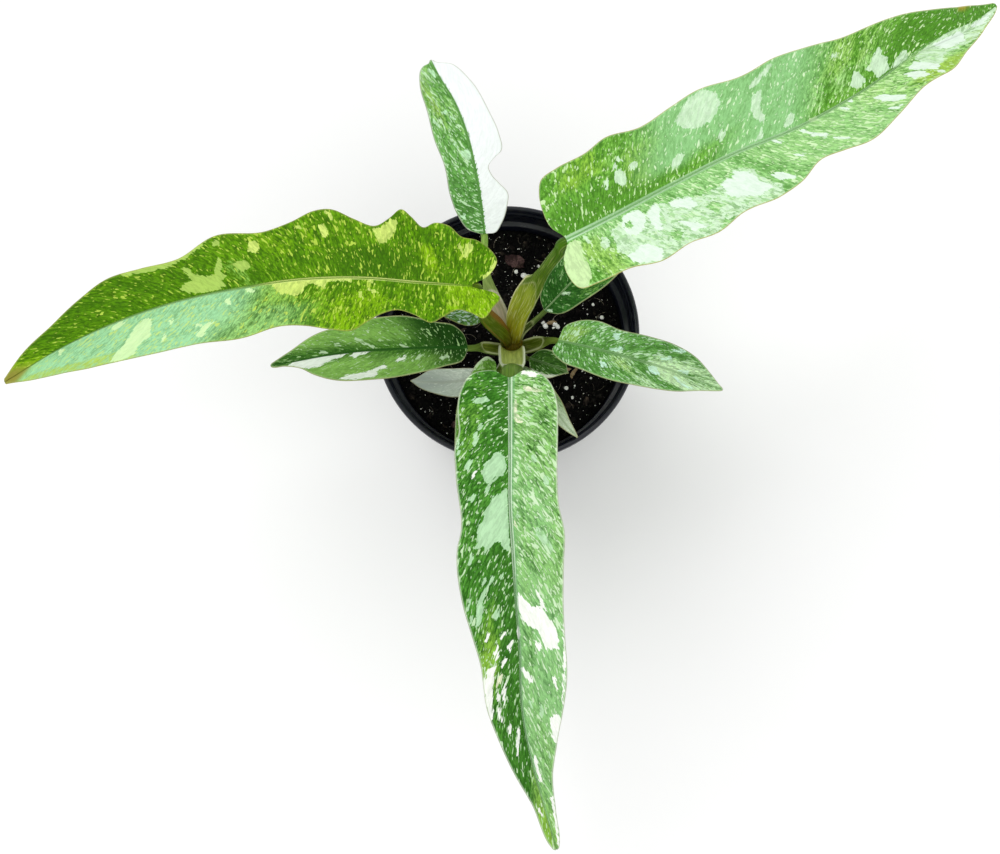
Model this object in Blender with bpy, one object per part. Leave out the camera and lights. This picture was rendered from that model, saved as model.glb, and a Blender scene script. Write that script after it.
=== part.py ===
"""Potted ring of fire philodendron: a nursery pot, its soil, one short stem that
carries all the petioles, and twelve folded, arching leaves.

Sizes are in millimetres and become metres where a mesh is made. +Z is up, +X is the
viewer's right, +Y points away from the viewer, and the origin is the middle of the
pot's underside.
"""
import math
import random

import bmesh
import bpy
import numpy as np
from mathutils import Matrix

MM = 0.001
GAP = 0.3                  # clearance kept between solids that touch

# Pot: a thin tapered nursery pot with a rolled lip over a stacking collar
POT_HEIGHT = 95.0
POT_RIM_RADIUS = 57.0
POT_BASE_RADIUS = 41.0
POT_SIDES = 60
COLLAR_HEIGHT = 13.0
COLLAR_RADIUS = 55.6       # outside, just under the lip
COLLAR_INNER_RADIUS = 54.0
BODY_TOP_RADIUS = 53.2     # outside, just under the collar
WALL = 1.7
FLOOR = 2.2
CORNER = 2.5               # bevel round the foot of the pot
COLLAR_DRAFT = 0.4         # taper of the collar from lip to foot
LEDGE_Z = POT_HEIGHT - COLLAR_HEIGHT + 1.0
LEDGE_ROUND = 0.7          # soft inner corner of the ledge
LIP_DEPTH = 3.4            # how far the rolled lip hangs down outside the collar
LIP_ROUND = 1.8            # radius of the lip's outer edge
SLOTS = 6
SLOT_SIZE = (9.0, 5.0, 6.0)  # along the radius, across it, and tall
SLOT_INSET = 1.0           # from the foot's edge in to the middle of a slot

# Soil: fills the pot to just under the inner ledge
SOIL_TOP = 81.0
SOIL_SIDES = 48
SOIL_RINGS = 8
SOIL_RELIEF = 0.48
SOIL_SHOULDER = 1.5        # the soil stands this far down where it meets the wall
RINGS_CROWD = 0.9          # sets the rings a little closer towards the wall
SOIL_SEED = 7
GRAINS = 16                # loose grains besides those placed one by one
GRAIN_RADIUS = (1.3, 2.4)
GRAIN_RISE = 0.3           # how far a loose grain's middle stands above the soil
GRAIN_FLATNESS = 0.8
# x, y, radius and how far the middle stands above the soil
PLACED_GRAINS = [
    (16.5, 0.5, 2.1, 0.6),
    (19.5, 0.3, 1.9, 0.6),
    (5.0, 24.0, 2.6, 0.7),
    (4.5, 31.0, 3.2, 0.4),
    (-27.0, 3.0, 3.0, 0.4),
    (28.0, -20.0, 1.8, 0.6),
    (41.0, 5.5, 2.2, 0.5),
    (26.0, -26.5, 1.6, 0.6),
    (6.5, -13.0, 1.4, 0.6),
]

# Stem: upright and short, with its foot in the soil
STEM_X = 2.0
STEM_Y = -6.5
STEM_FOOT_Z = 62.0
STEM_TOP_Z = 101.0
STEM_FOOT_RADIUS = 5.2
STEM_TOP_RADIUS = 4.6
STEM_SIDES = 16
HOLE_SIDES = 20
# old leaf scars round the stem: height above the soil and swell of the radius
SCARS = [(2, 0.0), (5, 0.4), (7, -0.3), (13, 0.2)]

# Leaves: shared proportions
BLADE = 0.9                # thickness of a blade
EDGE = 0.7                 # thickness at its margin
TIP_HALF = 0.5             # half the width that a blade ends in
NOTCH = 0.8                # where the margin starts, over the petiole's radius
RIB_SPREAD = 1.15          # half the rib's width over the petiole's radius
CROWD = 1.15               # packs the rows towards the base
SWEEP = 1.2                # sweeps the side veins forward of their roots
NECK = 0.7                 # straight run under the blade, over the petiole's radius
SECTION_POINTS = 12
RING_SPACING = 6.0
SHEATH_WALL = 1.3

# Each leaf, seen from above with its base towards the reader:
#   midrib   points from the notch to the tip
#   left     the margin from the lobe to the tip, as (along, across) the flat blade
#   right    the same on the other side
#   fold     how far the halves rise from the midrib, in degrees, at base and tip
#   wave     height and length of the margin's waves
#   petiole  points from the stem to the blade's neck
#   section  share of the petiole's length, its radius there, and its groove, where
#            1 is a round section, 0 is flat on top and -1 is an open sheath
LEAVES = {
    "leaf_01_upper_right": {
        "midrib": [(22, 14, 172), (39, 21, 178), (60, 31, 183), (84, 43, 185),
                   (108, 54, 183), (133, 70, 178), (160.5, 91.5, 169),
                   (185, 107, 160), (199, 122, 152)],
        "left": [(-3, 6), (-3.5, 13.5), (-2, 19.5), (1, 24), (8, 25.5), (21, 26),
                 (30, 27.5), (43, 24.5), (57, 26), (68, 27.5), (81, 26), (103, 27.5),
                 (118, 25.5), (136, 21.5), (156, 18.5), (173, 15), (200, 8.5)],
        "right": [(-3.5, 6.5), (-4.5, 13.5), (-2, 21), (7, 22.5), (18, 23), (28, 26),
                  (40, 25), (50, 26.5), (60, 24), (77, 24), (87, 21.5), (97, 16.5),
                  (106, 17.5), (116, 19.5), (133, 16.5), (149, 13.5), (172, 12.5),
                  (184, 7.5), (198, 4)],
        "fold": (14, 12),
        "wave": (1.2, 46),
        "petiole": [(2.5, -5.5, 97), (3, -3.5, 108), (4.5, 0.5, 118), (7, 3.5, 128),
                    (10, 6, 138), (13.5, 8.5, 148), (17, 11, 157), (19.5, 12.5, 163.5)],
        "section": [(0, 3.6, 0.7), (0.2, 3.9, 0.4), (0.4, 4.4, 0.2), (0.58, 3.4, 0.4),
                    (0.68, 2.5, 0.8), (1, 2.4, 0.9)],
        "rows": 38,
    },
    "leaf_02_left": {
        "midrib": [(-13.5, -3.5, 170), (-33, -4, 176), (-55, -3.5, 180),
                   (-77, -4.5, 181), (-99, -7.5, 180), (-122, -11.5, 177),
                   (-145.5, -17.5, 171), (-169.5, -26, 163), (-193, -37, 154)],
        "left": [(-4.5, 2), (-8.5, 2.2), (-10.5, 4), (-7.5, 8.5), (-3, 13.5),
                 (1.5, 11.5), (6.5, 10.5), (12, 13.5), (17, 16.5), (22.5, 14),
                 (28.5, 12.5), (34, 14.5), (40, 18.5), (46, 22.5), (53.5, 22),
                 (63, 20), (72.5, 19.5), (87.5, 22), (105, 21), (133.5, 19),
                 (153.5, 15), (175, 7.5)],
        "right": [(-4.5, 3), (-8, 6.5), (-9.5, 10), (-6.5, 15), (-2, 17.5), (5, 18),
                  (10.5, 22), (15.5, 23), (19.5, 21), (25, 24), (29.5, 26),
                  (33.5, 22.5), (38, 19.5), (45, 22), (52.5, 25), (58.5, 24.5),
                  (66, 21.5), (75, 19), (93, 20.5), (107, 15), (121, 15.5),
                  (134, 16), (147, 13), (161, 9), (177, 5.5)],
        "fold": (10, 26),
        "wave": (2.2, 25),
        "petiole": [(1, -6, 97), (-1, -5.5, 109), (-4.5, -5.5, 122), (-8, -6, 136),
                    (-10.5, -6, 150), (-12.5, -5, 160)],
        "section": [(0, 3.5, 0.7), (0.3, 3.5, 0.3), (0.55, 3.2, 0.3), (0.75, 2.6, 0.8),
                    (1, 2.4, 0.9)],
        "rows": 44,
    },
    "leaf_03_front": {
        "midrib": [(0.5, -36, 158), (0.5, -52, 163), (0.5, -69.5, 166),
                   (0.5, -86.5, 167), (1.5, -103, 166), (2.5, -119, 163),
                   (4, -138.5, 157), (5, -160, 148), (9, -180, 138),
                   (14.5, -199, 127), (18.5, -212.5, 118)],
        "left": [(-2, 4.5), (-1, 10.5), (4.5, 15.5), (14.5, 18.5), (25, 18.5),
                 (39.5, 18), (52.5, 18.5), (63.5, 20), (72.5, 19), (84.5, 18),
                 (100.5, 17.5), (117, 17.5), (129, 15.5), (142, 11.5), (157.5, 6.5),
                 (172.5, 4)],
        "right": [(-2, 5), (-1.5, 10.5), (1.5, 15.5), (7.5, 18.5), (14, 20), (20, 20),
                  (25, 19.5), (31, 21), (41.5, 20.5), (60, 19), (66.5, 21), (73, 21.5),
                  (84, 20.5), (95.5, 18), (110, 15), (124.5, 13.5), (136, 11),
                  (148.5, 8.5), (166, 4.5)],
        "fold": (16, 18),
        "wave": (0.8, 40),
        "petiole": [(1.8, -6.5, 97), (1.8, -10.5, 110), (1.8, -17, 122), (1.8, -23.5, 134),
                    (1.8, -29.5, 145)],
        "section": [(0, 5.3, -0.6), (0.3, 5.8, -0.8), (0.58, 5.5, -0.75), (0.7, 4.3, 0),
                    (0.8, 3.6, 0.8), (1, 3.2, 0.9)],
        "rows": 38,
    },
    "leaf_04_lower_left": {
        "midrib": [(-16.5, -13.5, 118), (-31.5, -15.5, 125), (-45.5, -17, 128),
                   (-62, -18, 128), (-76.5, -19, 124), (-87, -20, 120),
                   (-98, -20.5, 115)],
        "left": [(3, 5.5), (12, 8.5), (25, 11.5), (37.5, 13), (53.5, 12.5), (65, 8),
                 (72, 3.5), (79, 1.5)],
        "right": [(1, 5), (5.5, 9), (13.5, 10.5), (27.5, 13.5), (39, 13), (50.5, 11),
                  (62, 9.5), (76, 4.5)],
        "fold": (12, 14),
        "wave": (0.4, 30),
        "petiole": [(0.5, -7.5, 93), (-3.5, -9, 99), (-9, -10.5, 107)],
        "section": [(0, 2.6, -0.5), (0.4, 2.9, -0.75), (0.62, 2.3, -0.2), (0.76, 1.5, 0.8),
                    (1, 1.3, 0.9)],
        "rows": 22,
    },
    "leaf_05_right": {
        "midrib": [(21, -10, 116), (34, -14.5, 121), (48, -19, 124), (64, -24, 124),
                   (77.5, -28, 120), (88.5, -31, 116)],
        "left": [(1, 6), (6, 9.5), (14.5, 11.5), (25, 10), (36, 10.5), (47.5, 10.5),
                 (58, 8.5), (66, 4.5)],
        "right": [(-1, 4.5), (5, 9), (14, 10.5), (26.5, 12), (39, 11), (51.5, 8.5),
                  (63, 4)],
        "fold": (12, 12),
        "wave": (0.4, 30),
        "petiole": [(4, -7, 93), (7.5, -7.5, 98), (13.5, -8.5, 107)],
        "section": [(0, 3.0, -0.5), (0.4, 3.3, -0.75), (0.64, 2.4, -0.2), (0.78, 1.5, 0.8),
                    (1, 1.3, 0.9)],
        "rows": 20,
    },
    "leaf_06_back": {
        "midrib": [(-9.5, 28.5, 138), (-11, 41, 143), (-13.5, 54.5, 147),
                   (-17, 68.5, 149), (-22, 81.5, 149), (-27.5, 91.5, 148),
                   (-31.5, 100.5, 146)],
        "left": [(2.5, 6.5), (8.5, 10), (17, 12), (29.5, 12), (41, 13.5), (53, 12.5),
                 (68, 9), (76, 4)],
        "right": [(0, 4.5), (3.5, 7.5), (10, 10.5), (14.5, 11.5), (19, 8.5), (23, 6),
                  (26, 5.5), (28.5, 8), (31, 12), (37.5, 12.5), (46, 11.5), (60, 10),
                  (71, 7)],
        "fold": (10, 10),
        "wave": (0.4, 30),
        "petiole": [(2, -4, 95), (-1, 0, 102), (-4.5, 6, 111), (-7.5, 11.5, 119),
                    (-9, 17.5, 127), (-9.5, 23.5, 133)],
        "section": [(0, 3.0, -0.3), (0.3, 3.8, -0.7), (0.5, 3.0, -0.4), (0.65, 1.7, 0.6),
                    (1, 1.4, 0.9)],
        "rows": 26,
    },
    "leaf_07_back_right": {
        "midrib": [(16, 7.5, 100), (27, 17.5, 108), (39, 30, 113), (50, 42, 114),
                   (58, 53.5, 111)],
        "left": [(2.5, 5), (11, 9), (23, 10), (37, 9), (54, 6)],
        "right": [(3.5, 5.5), (16, 10), (30, 13), (43, 12), (54.5, 6.5)],
        "fold": (12, 12),
        "wave": (0.3, 25),
        "petiole": [(3.5, -5, 90), (6.5, 0, 93), (10.5, 3, 96)],
        "section": [(0, 1.9, 0.2), (0.4, 1.7, -0.4), (0.65, 1.2, 0.8), (1, 1.1, 0.9)],
        "rows": 18,
    },
    "leaf_08_pale_on_soil": {
        "midrib": [(-6.5, -17.5, 92), (-16, -20.5, 91), (-27, -21.5, 89),
                   (-35.5, -21, 87.5), (-42, -20, 86.5)],
        "left": [(9, 6), (16, 7), (25, 5), (32.5, 2.5)],
        "right": [(6.5, 4), (18.5, 6), (28.5, 5.5)],
        "fold": (4, 4),
        "wave": (0.3, 20),
        "petiole": [(0.5, -8, 87), (-1.5, -11.5, 88.5)],
        "section": [(0, 1.5, 0.5), (1, 0.9, 0.9)],
        "rows": 12,
    },
    "leaf_09_small_right": {
        "midrib": [(9.5, -11.5, 92), (17.5, -15, 95), (26.5, -18, 92)],
        "left": [(3.5, 5), (11, 6), (17, 3)],
        "right": [(4, 5.5), (10, 6.5), (15, 3)],
        "fold": (12, 12),
        "wave": (0, 20),
        "petiole": [(3.5, -7.5, 87), (5.5, -8.5, 89)],
        "section": [(0, 1.4, 0.5), (1, 0.9, 0.9)],
        "rows": 10,
    },
    "leaf_10_folded_front": {
        "midrib": [(7, -14.5, 89), (12, -23.5, 93), (19, -33, 97), (24.5, -42, 99),
                   (29.5, -47.5, 99)],
        "left": [(9, 5), (22, 4.5), (32, 3)],
        "right": [(10, 4), (22.5, 4.5), (34, 2.5)],
        "fold": (24, 20),
        "wave": (0, 20),
        "petiole": [(2.5, -9, 85), (4.5, -11.5, 86.5)],
        "section": [(0, 1.4, 0.5), (1, 0.9, 0.9)],
        "rows": 12,
    },
    "leaf_11_under_front": {
        "midrib": [(-4, -21, 102), (-7.5, -38, 108), (-9.5, -57.5, 112),
                   (-11, -76, 110), (-11.5, -89.5, 105), (-11, -99.5, 100)],
        "left": [(5, 5), (17, 10), (36, 12.5), (52.5, 12), (67, 9)],
        "right": [(-6, 2.5), (-7.5, 6), (-4, 9), (5, 11.5), (17, 13.5), (30, 13),
                  (44, 11.5), (57.5, 9), (71.5, 5)],
        "fold": (8, 8),
        "wave": (0.3, 30),
        "petiole": [(1, -8.5, 88), (0, -13, 93)],
        "section": [(0, 1.9, 0.4), (1, 1.2, 0.9)],
        "rows": 20,
    },
    "leaf_12_under_left": {
        "midrib": [(-10, 4, 102), (-18, 6.5, 105), (-26.5, 10, 106), (-39.5, 14.5, 104)],
        "left": [(1, 3), (6, 6.5), (12, 7), (20, 6)],
        "right": [(7, 6), (16.5, 7), (25, 4.5)],
        "fold": (8, 8),
        "wave": (0, 20),
        "petiole": [(0.5, -5, 92), (-3, -2, 95)],
        "section": [(0, 1.7, 0.4), (1, 1.0, 0.9)],
        "rows": 12,
    },
}
LARGE_BLADE = 100.0        # a blade longer than this gets one more column a side
SMALL_BLADE = 45.0         # and one shorter than this gets one less

COLOURS = {
    "pot": ((0.012, 0.013, 0.015), 0.35),
    "soil": ((0.022, 0.017, 0.013), 0.95),
    "stem_and_petioles": ((0.16, 0.19, 0.03), 0.45),
    "green": ((0.09, 0.25, 0.03), 0.4),
    "pale": ((0.45, 0.55, 0.40), 0.45),
}


def clear_scene():
    for obj in list(bpy.data.objects):
        bpy.data.objects.remove(obj, do_unlink=True)


def material(name, colour, roughness):
    mat = bpy.data.materials.new(name)
    mat.use_nodes = True
    shader = mat.node_tree.nodes["Principled BSDF"]
    shader.inputs["Base Color"].default_value = (*colour, 1.0)
    shader.inputs["Roughness"].default_value = roughness
    shader.inputs["Metallic"].default_value = 0.0
    return mat


def solid(name, points, faces):
    """A mesh object from points in millimetres."""
    mesh = bpy.data.meshes.new(name)
    mesh.from_pydata([tuple(c * MM for c in p) for p in points], [], faces)
    mesh.update()
    obj = bpy.data.objects.new(name, mesh)
    bpy.context.collection.objects.link(obj)
    return obj


def outward(obj):
    bm = bmesh.new()
    bm.from_mesh(obj.data)
    bmesh.ops.recalc_face_normals(bm, faces=bm.faces)
    bm.to_mesh(obj.data)
    bm.free()


def finish(obj, colour, sharp=40.0):
    obj.data.materials.clear()
    obj.data.materials.append(material(obj.name, *COLOURS[colour]))
    obj.data.shade_smooth()
    obj.data.set_sharp_from_angle(angle=math.radians(sharp))


def boolean(obj, operation, other, solver="EXACT"):
    """Apply one Boolean with an object or a collection, then remove the helpers."""
    modifier = obj.modifiers.new("cut", "BOOLEAN")
    modifier.operation = operation
    modifier.solver = solver
    if isinstance(other, bpy.types.Collection):
        modifier.operand_type = "COLLECTION"
        modifier.collection = other
        helpers = list(other.objects)
    else:
        modifier.object = other
        helpers = [other]
    bpy.context.view_layer.update()
    graph = bpy.context.evaluated_depsgraph_get()
    result = bpy.data.meshes.new_from_object(obj.evaluated_get(graph))
    obj.modifiers.remove(modifier)
    obj.data = result
    for helper in helpers:
        bpy.data.objects.remove(helper, do_unlink=True)


def gather(name, objects):
    """Move objects into a collection of their own."""
    group = bpy.data.collections.new(name)
    bpy.context.scene.collection.children.link(group)
    for obj in objects:
        for old in list(obj.users_collection):
            old.objects.unlink(obj)
        group.objects.link(obj)
    return group


def turned(name, profile, sides):
    """A closed profile of (radius, height) turned about Z; a radius of 0 is a pole."""
    points = []
    rings = []
    for radius, height in profile:
        if radius == 0:
            rings.append([len(points)] * sides)
            points.append((0.0, 0.0, height))
            continue
        rings.append(list(range(len(points), len(points) + sides)))
        for i in range(sides):
            turn = 2 * math.pi * i / sides
            points.append((radius * math.cos(turn), radius * math.sin(turn), height))
    faces = []
    for low, high in zip(rings, rings[1:]):
        for i in range(sides):
            j = (i + 1) % sides
            corners = [low[i], low[j], high[j], high[i]]
            faces.append(list(dict.fromkeys(corners)))
    obj = solid(name, points, faces)
    outward(obj)
    return obj


def inner_radius(height):
    """Radius of the pot's tapered inner wall at a height."""
    share = (height - FLOOR) / (LEDGE_Z - FLOOR)
    low = POT_BASE_RADIUS - WALL
    high = BODY_TOP_RADIUS - WALL
    return low + (high - low) * share


def make_pot():
    """One turned shell, from the middle of the floor's top out over the lip."""
    collar_foot = POT_HEIGHT - COLLAR_HEIGHT
    profile = [
        (0, FLOOR),
        (POT_BASE_RADIUS - WALL, FLOOR),
        (BODY_TOP_RADIUS - WALL, LEDGE_Z),
        (COLLAR_INNER_RADIUS - LEDGE_ROUND, LEDGE_Z + LEDGE_ROUND),
        (COLLAR_INNER_RADIUS, POT_HEIGHT - LIP_DEPTH * 0.7),
        (COLLAR_INNER_RADIUS + LIP_ROUND * 0.3, POT_HEIGHT - LIP_ROUND * 0.4),
        (POT_RIM_RADIUS - LIP_ROUND, POT_HEIGHT),
        (POT_RIM_RADIUS - LIP_ROUND * 0.3, POT_HEIGHT - LIP_ROUND * 0.3),
        (POT_RIM_RADIUS, POT_HEIGHT - LIP_ROUND),
        (POT_RIM_RADIUS - LIP_ROUND * 0.2, POT_HEIGHT - LIP_DEPTH * 0.9),
        (COLLAR_RADIUS, POT_HEIGHT - LIP_DEPTH),
        (COLLAR_RADIUS - COLLAR_DRAFT, collar_foot + COLLAR_DRAFT),
        (BODY_TOP_RADIUS, collar_foot),
        (POT_BASE_RADIUS, CORNER),
        (POT_BASE_RADIUS - CORNER, 0),
        (0, 0),
    ]
    pot = turned("pot", profile, POT_SIDES)
    slots = []
    reach = POT_BASE_RADIUS - SLOT_INSET
    for i in range(SLOTS):
        turn = 2 * math.pi * (i + 0.5) / SLOTS
        bpy.ops.mesh.primitive_cube_add(size=1.0)
        slot = bpy.context.active_object
        slot.location = (reach * math.cos(turn) * MM, reach * math.sin(turn) * MM, 0)
        slot.rotation_euler = (0, 0, turn)
        slot.scale = [length * MM for length in SLOT_SIZE]
        slots.append(slot)
    boolean(pot, "DIFFERENCE", gather("slots", slots))
    finish(pot, "pot")
    return pot


def soil_height(x, y):
    """Low, uneven relief of the soil's top."""
    coarse = math.sin(x * 0.13 + 1.0) * math.cos(y * 0.11)
    fine = math.sin(x * 0.31 + y * 0.23) * 0.5
    return SOIL_TOP + SOIL_RELIEF * (coarse + fine)


def make_soil():
    """The filled inside of the pot, with relief, loose grains and the stem's hole."""
    heights = (FLOOR + GAP, SOIL_TOP - SOIL_SHOULDER)
    side = [(inner_radius(h) - GAP, h) for h in heights]
    top_radius = side[1][0]
    profile = [(0, FLOOR + GAP)] + side + [(top_radius - 1.0, SOIL_TOP)]
    profile += [(top_radius * (1 - k / SOIL_RINGS) ** RINGS_CROWD, SOIL_TOP)
                for k in range(1, SOIL_RINGS)]
    profile.append((0, SOIL_TOP))
    soil = turned("soil", profile, SOIL_SIDES)
    for vert in soil.data.vertices:
        if vert.co.z > (SOIL_TOP - SOIL_SHOULDER / 2) * MM:
            vert.co.z = soil_height(vert.co.x / MM, vert.co.y / MM) * MM
    boolean(soil, "UNION", gather("grains", make_grains(top_radius)))
    hole_foot = STEM_FOOT_Z - GAP
    hole_top = STEM_TOP_Z
    bpy.ops.mesh.primitive_cylinder_add(
        vertices=HOLE_SIDES,
        radius=(STEM_FOOT_RADIUS + GAP) / math.cos(math.pi / HOLE_SIDES) * MM,
        depth=(hole_top - hole_foot) * MM,
        location=(STEM_X * MM, STEM_Y * MM, (hole_top + hole_foot) / 2 * MM))
    boolean(soil, "DIFFERENCE", bpy.context.active_object)
    finish(soil, "soil", 25)
    return soil


def make_grains(reach):
    """Perlite and bark as low twenty-sided grains, sunk half into the soil."""
    draw = random.Random(SOIL_SEED)
    spots = list(PLACED_GRAINS)
    while len(spots) < len(PLACED_GRAINS) + GRAINS:
        turn = draw.uniform(0, 2 * math.pi)
        away = (reach - 5) * math.sqrt(draw.random())
        x = away * math.cos(turn)
        y = away * math.sin(turn)
        size = draw.uniform(*GRAIN_RADIUS)
        room = min(math.hypot(x - s[0], y - s[1]) - s[2] for s in spots) - size
        if room > 1.0 and math.hypot(x - STEM_X, y - STEM_Y) > STEM_FOOT_RADIUS + 4:
            spots.append((x, y, size, GRAIN_RISE))
    grains = []
    for x, y, size, rise in spots:
        bpy.ops.mesh.primitive_ico_sphere_add(subdivisions=1, radius=size * MM)
        grain = bpy.context.active_object
        middle = soil_height(x, y) + rise - size * 0.4
        grain.location = (x * MM, y * MM, middle * MM)
        grain.rotation_euler = (draw.random() * 3, draw.random() * 3, draw.random() * 3)
        grain.scale = (1.0, draw.uniform(0.75, 1.1), GRAIN_FLATNESS)
        grains.append(grain)
    return grains


def smooth_curve(points, samples=400):
    """A smooth curve through the points, as closely spaced samples."""
    pts = np.array(points, float)
    gaps = np.linalg.norm(np.diff(pts, axis=0), axis=1)
    knots = np.concatenate([[0.0], np.cumsum(gaps)])
    slopes = np.gradient(pts, knots, axis=0)
    t = np.linspace(0.0, knots[-1], samples)
    seg = np.clip(np.searchsorted(knots, t, side="right") - 1, 0, len(pts) - 2)
    span = (knots[seg + 1] - knots[seg])[:, None]
    f = (t - knots[seg])[:, None] / span
    start = (2 * f**3 - 3 * f**2 + 1) * pts[seg] + (f**3 - 2 * f**2 + f) * span * slopes[seg]
    end = (3 * f**2 - 2 * f**3) * pts[seg + 1] + (f**3 - f**2) * span * slopes[seg + 1]
    return start + end


def along(curve):
    """Distance along a sampled curve."""
    steps = np.linalg.norm(np.diff(curve, axis=0), axis=1)
    return np.concatenate([[0.0], np.cumsum(steps)])


def unit(vectors):
    return vectors / np.linalg.norm(vectors, axis=-1, keepdims=True)


class Blade:
    """The curved surface of one leaf: places on the flat blade become places in air."""

    def __init__(self, leaf):
        self.curve = smooth_curve(leaf["midrib"])
        self.reach = along(self.curve)
        self.length = self.reach[-1]
        self.heading = unit(np.gradient(self.curve, self.reach, axis=0))
        self.fold = np.radians(leaf["fold"])
        self.wave, self.pitch = leaf["wave"]
        self.half = max(v for _, v in leaf["left"] + leaf["right"])

    def frame(self, u):
        """Point, heading, side and up of the midrib at distances u."""
        held = np.clip(u, 0.0, self.length)
        point = np.column_stack([np.interp(held, self.reach, c) for c in self.curve.T])
        heading = unit(np.column_stack(
            [np.interp(held, self.reach, c) for c in self.heading.T]))
        side = unit(np.cross(heading, (0.0, 0.0, 1.0)))
        up = np.cross(side, heading)
        return point + (u - held)[:, None] * heading, heading, side, up

    def place(self, u, v):
        """v is the distance across, positive to the right of the midrib."""
        point, _, side, up = self.frame(u)
        share = np.clip(u / self.length, 0.0, 1.0)
        rise = self.fold[0] + (self.fold[1] - self.fold[0]) * share
        across = np.abs(v)
        phase = 2 * math.pi * u / self.pitch + np.where(v > 0, 0.0, 1.3)
        ripple = self.wave * (across / self.half) ** 2 * np.sin(phase) * np.exp(-3 * share)
        out = (np.sign(v) * across * np.cos(rise))[:, None] * side
        return point + out + (across * np.sin(rise) + ripple)[:, None] * up

    def normal(self, u, v, step=0.05):
        du = self.place(u + step, v) - self.place(u - step, v)
        dv = self.place(u, v + step) - self.place(u, v - step)
        return unit(np.cross(dv, du))


def blade_grid(leaf, blade, rows, columns):
    """Flat places of the blade's grid: rows follow the side veins."""
    share = (np.arange(rows + 1) / rows) ** CROWD
    root = blade.length * share ** SWEEP
    notch = neck_radius(leaf) * NOTCH
    rib = rib_half(leaf, share)
    sides = {}
    for name, sign in (("left", -1.0), ("right", 1.0)):
        margin = [(0.0, notch)] + leaf[name] + [(blade.length, TIP_HALF)]
        curve = smooth_curve(margin)
        reach = along(curve)
        u_edge = np.interp(share * reach[-1], reach, curve[:, 0])
        v_edge = np.interp(share * reach[-1], reach, curve[:, 1])
        first = np.minimum(rib / np.hypot(u_edge - root, v_edge), 0.45)
        lanes = []
        for k in range(1, columns + 1):
            part = first + (1 - first) * (k - 1) / (columns - 1)
            lanes.append((root + part * (u_edge - root), sign * part * v_edge))
        sides[name] = lanes
    lanes = sides["left"][::-1] + [(root, np.zeros_like(root))] + sides["right"]
    u = np.column_stack([lane[0] for lane in lanes])
    v = np.column_stack([lane[1] for lane in lanes])
    return u, v, share


def neck_radius(leaf):
    """Radius of the petiole where it meets the blade."""
    return leaf["section"][-1][1]


def rib_half(leaf, share):
    """Half the width of the midrib, from the neck to the tip."""
    return neck_radius(leaf) * RIB_SPREAD * (1 - share) ** 0.8 + TIP_HALF * 0.6


def rib_depth(leaf, share):
    """How deep the blade is at its midrib, from the neck to the tip."""
    return BLADE + (2 * neck_radius(leaf) - BLADE) * (1 - share) ** 2.5


def make_blade(name, leaf):
    """One closed leaf blade, split into triangles alike on both faces."""
    blade = Blade(leaf)
    columns = 3
    if blade.length > LARGE_BLADE:
        columns = 4
    if blade.length < SMALL_BLADE:
        columns = 2
    u, v, share = blade_grid(leaf, blade, leaf["rows"], columns)
    lanes = 2 * columns + 1
    thick = np.full(u.shape, BLADE)
    thick[:, 0] = EDGE
    thick[:, -1] = EDGE
    thick[:, columns] = rib_depth(leaf, share)
    top = blade.place(u.ravel(), v.ravel())
    # a flat v of exactly 0 has no side, so the midrib's own frame gives its normal
    normal = blade.normal(u.ravel(), v.ravel())
    _, _, _, up = blade.frame(u[:, columns])
    normal[columns::lanes] = up
    under = top - normal * thick.ravel()[:, None]
    points = [tuple(p) for p in top] + [tuple(p) for p in under]
    faces = grid_faces(leaf["rows"] + 1, lanes)
    obj = solid(name, points, faces)
    outward(obj)
    finish(obj, "pale" if "pale" in name else "green", 60)
    return blade


def grid_faces(rows, lanes):
    """Triangles of a slab: top, under side and the rim that joins them."""
    total = rows * lanes
    faces = []
    for i in range(rows - 1):
        for j in range(lanes - 1):
            a = i * lanes + j
            b, c, d = a + 1, a + lanes + 1, a + lanes
            # the diagonals mirror about the midrib, and match above and below
            if j < lanes // 2:
                split = ((a, b, c), (a, c, d))
            else:
                split = ((a, b, d), (b, c, d))
            for tri in split:
                faces.append(tri)
                faces.append(tuple(total + k for k in reversed(tri)))
    rim = [j for j in range(lanes)]
    rim += [i * lanes + lanes - 1 for i in range(1, rows)]
    rim += [(rows - 1) * lanes + j for j in range(lanes - 2, -1, -1)]
    rim += [i * lanes for i in range(rows - 2, 0, -1)]
    for a, b in zip(rim, rim[1:] + rim[:1]):
        faces.append((b, a, total + a))
        faces.append((b, total + a, total + b))
    return faces


def section(radius, groove):
    """Points round a petiole: a round back and a top that can sink in."""
    wall = min(radius, SHEATH_WALL)
    inner = radius - wall * (1 - groove) / 2
    back = [math.radians(a) for a in range(180, 361, 30)]
    face = [math.radians(a) for a in range(30, 151, 30)]
    ring = [(radius * math.cos(a), radius * math.sin(a)) for a in back]
    ring += [(inner * math.cos(a), groove * inner * math.sin(a)) for a in face]
    return ring


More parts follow.
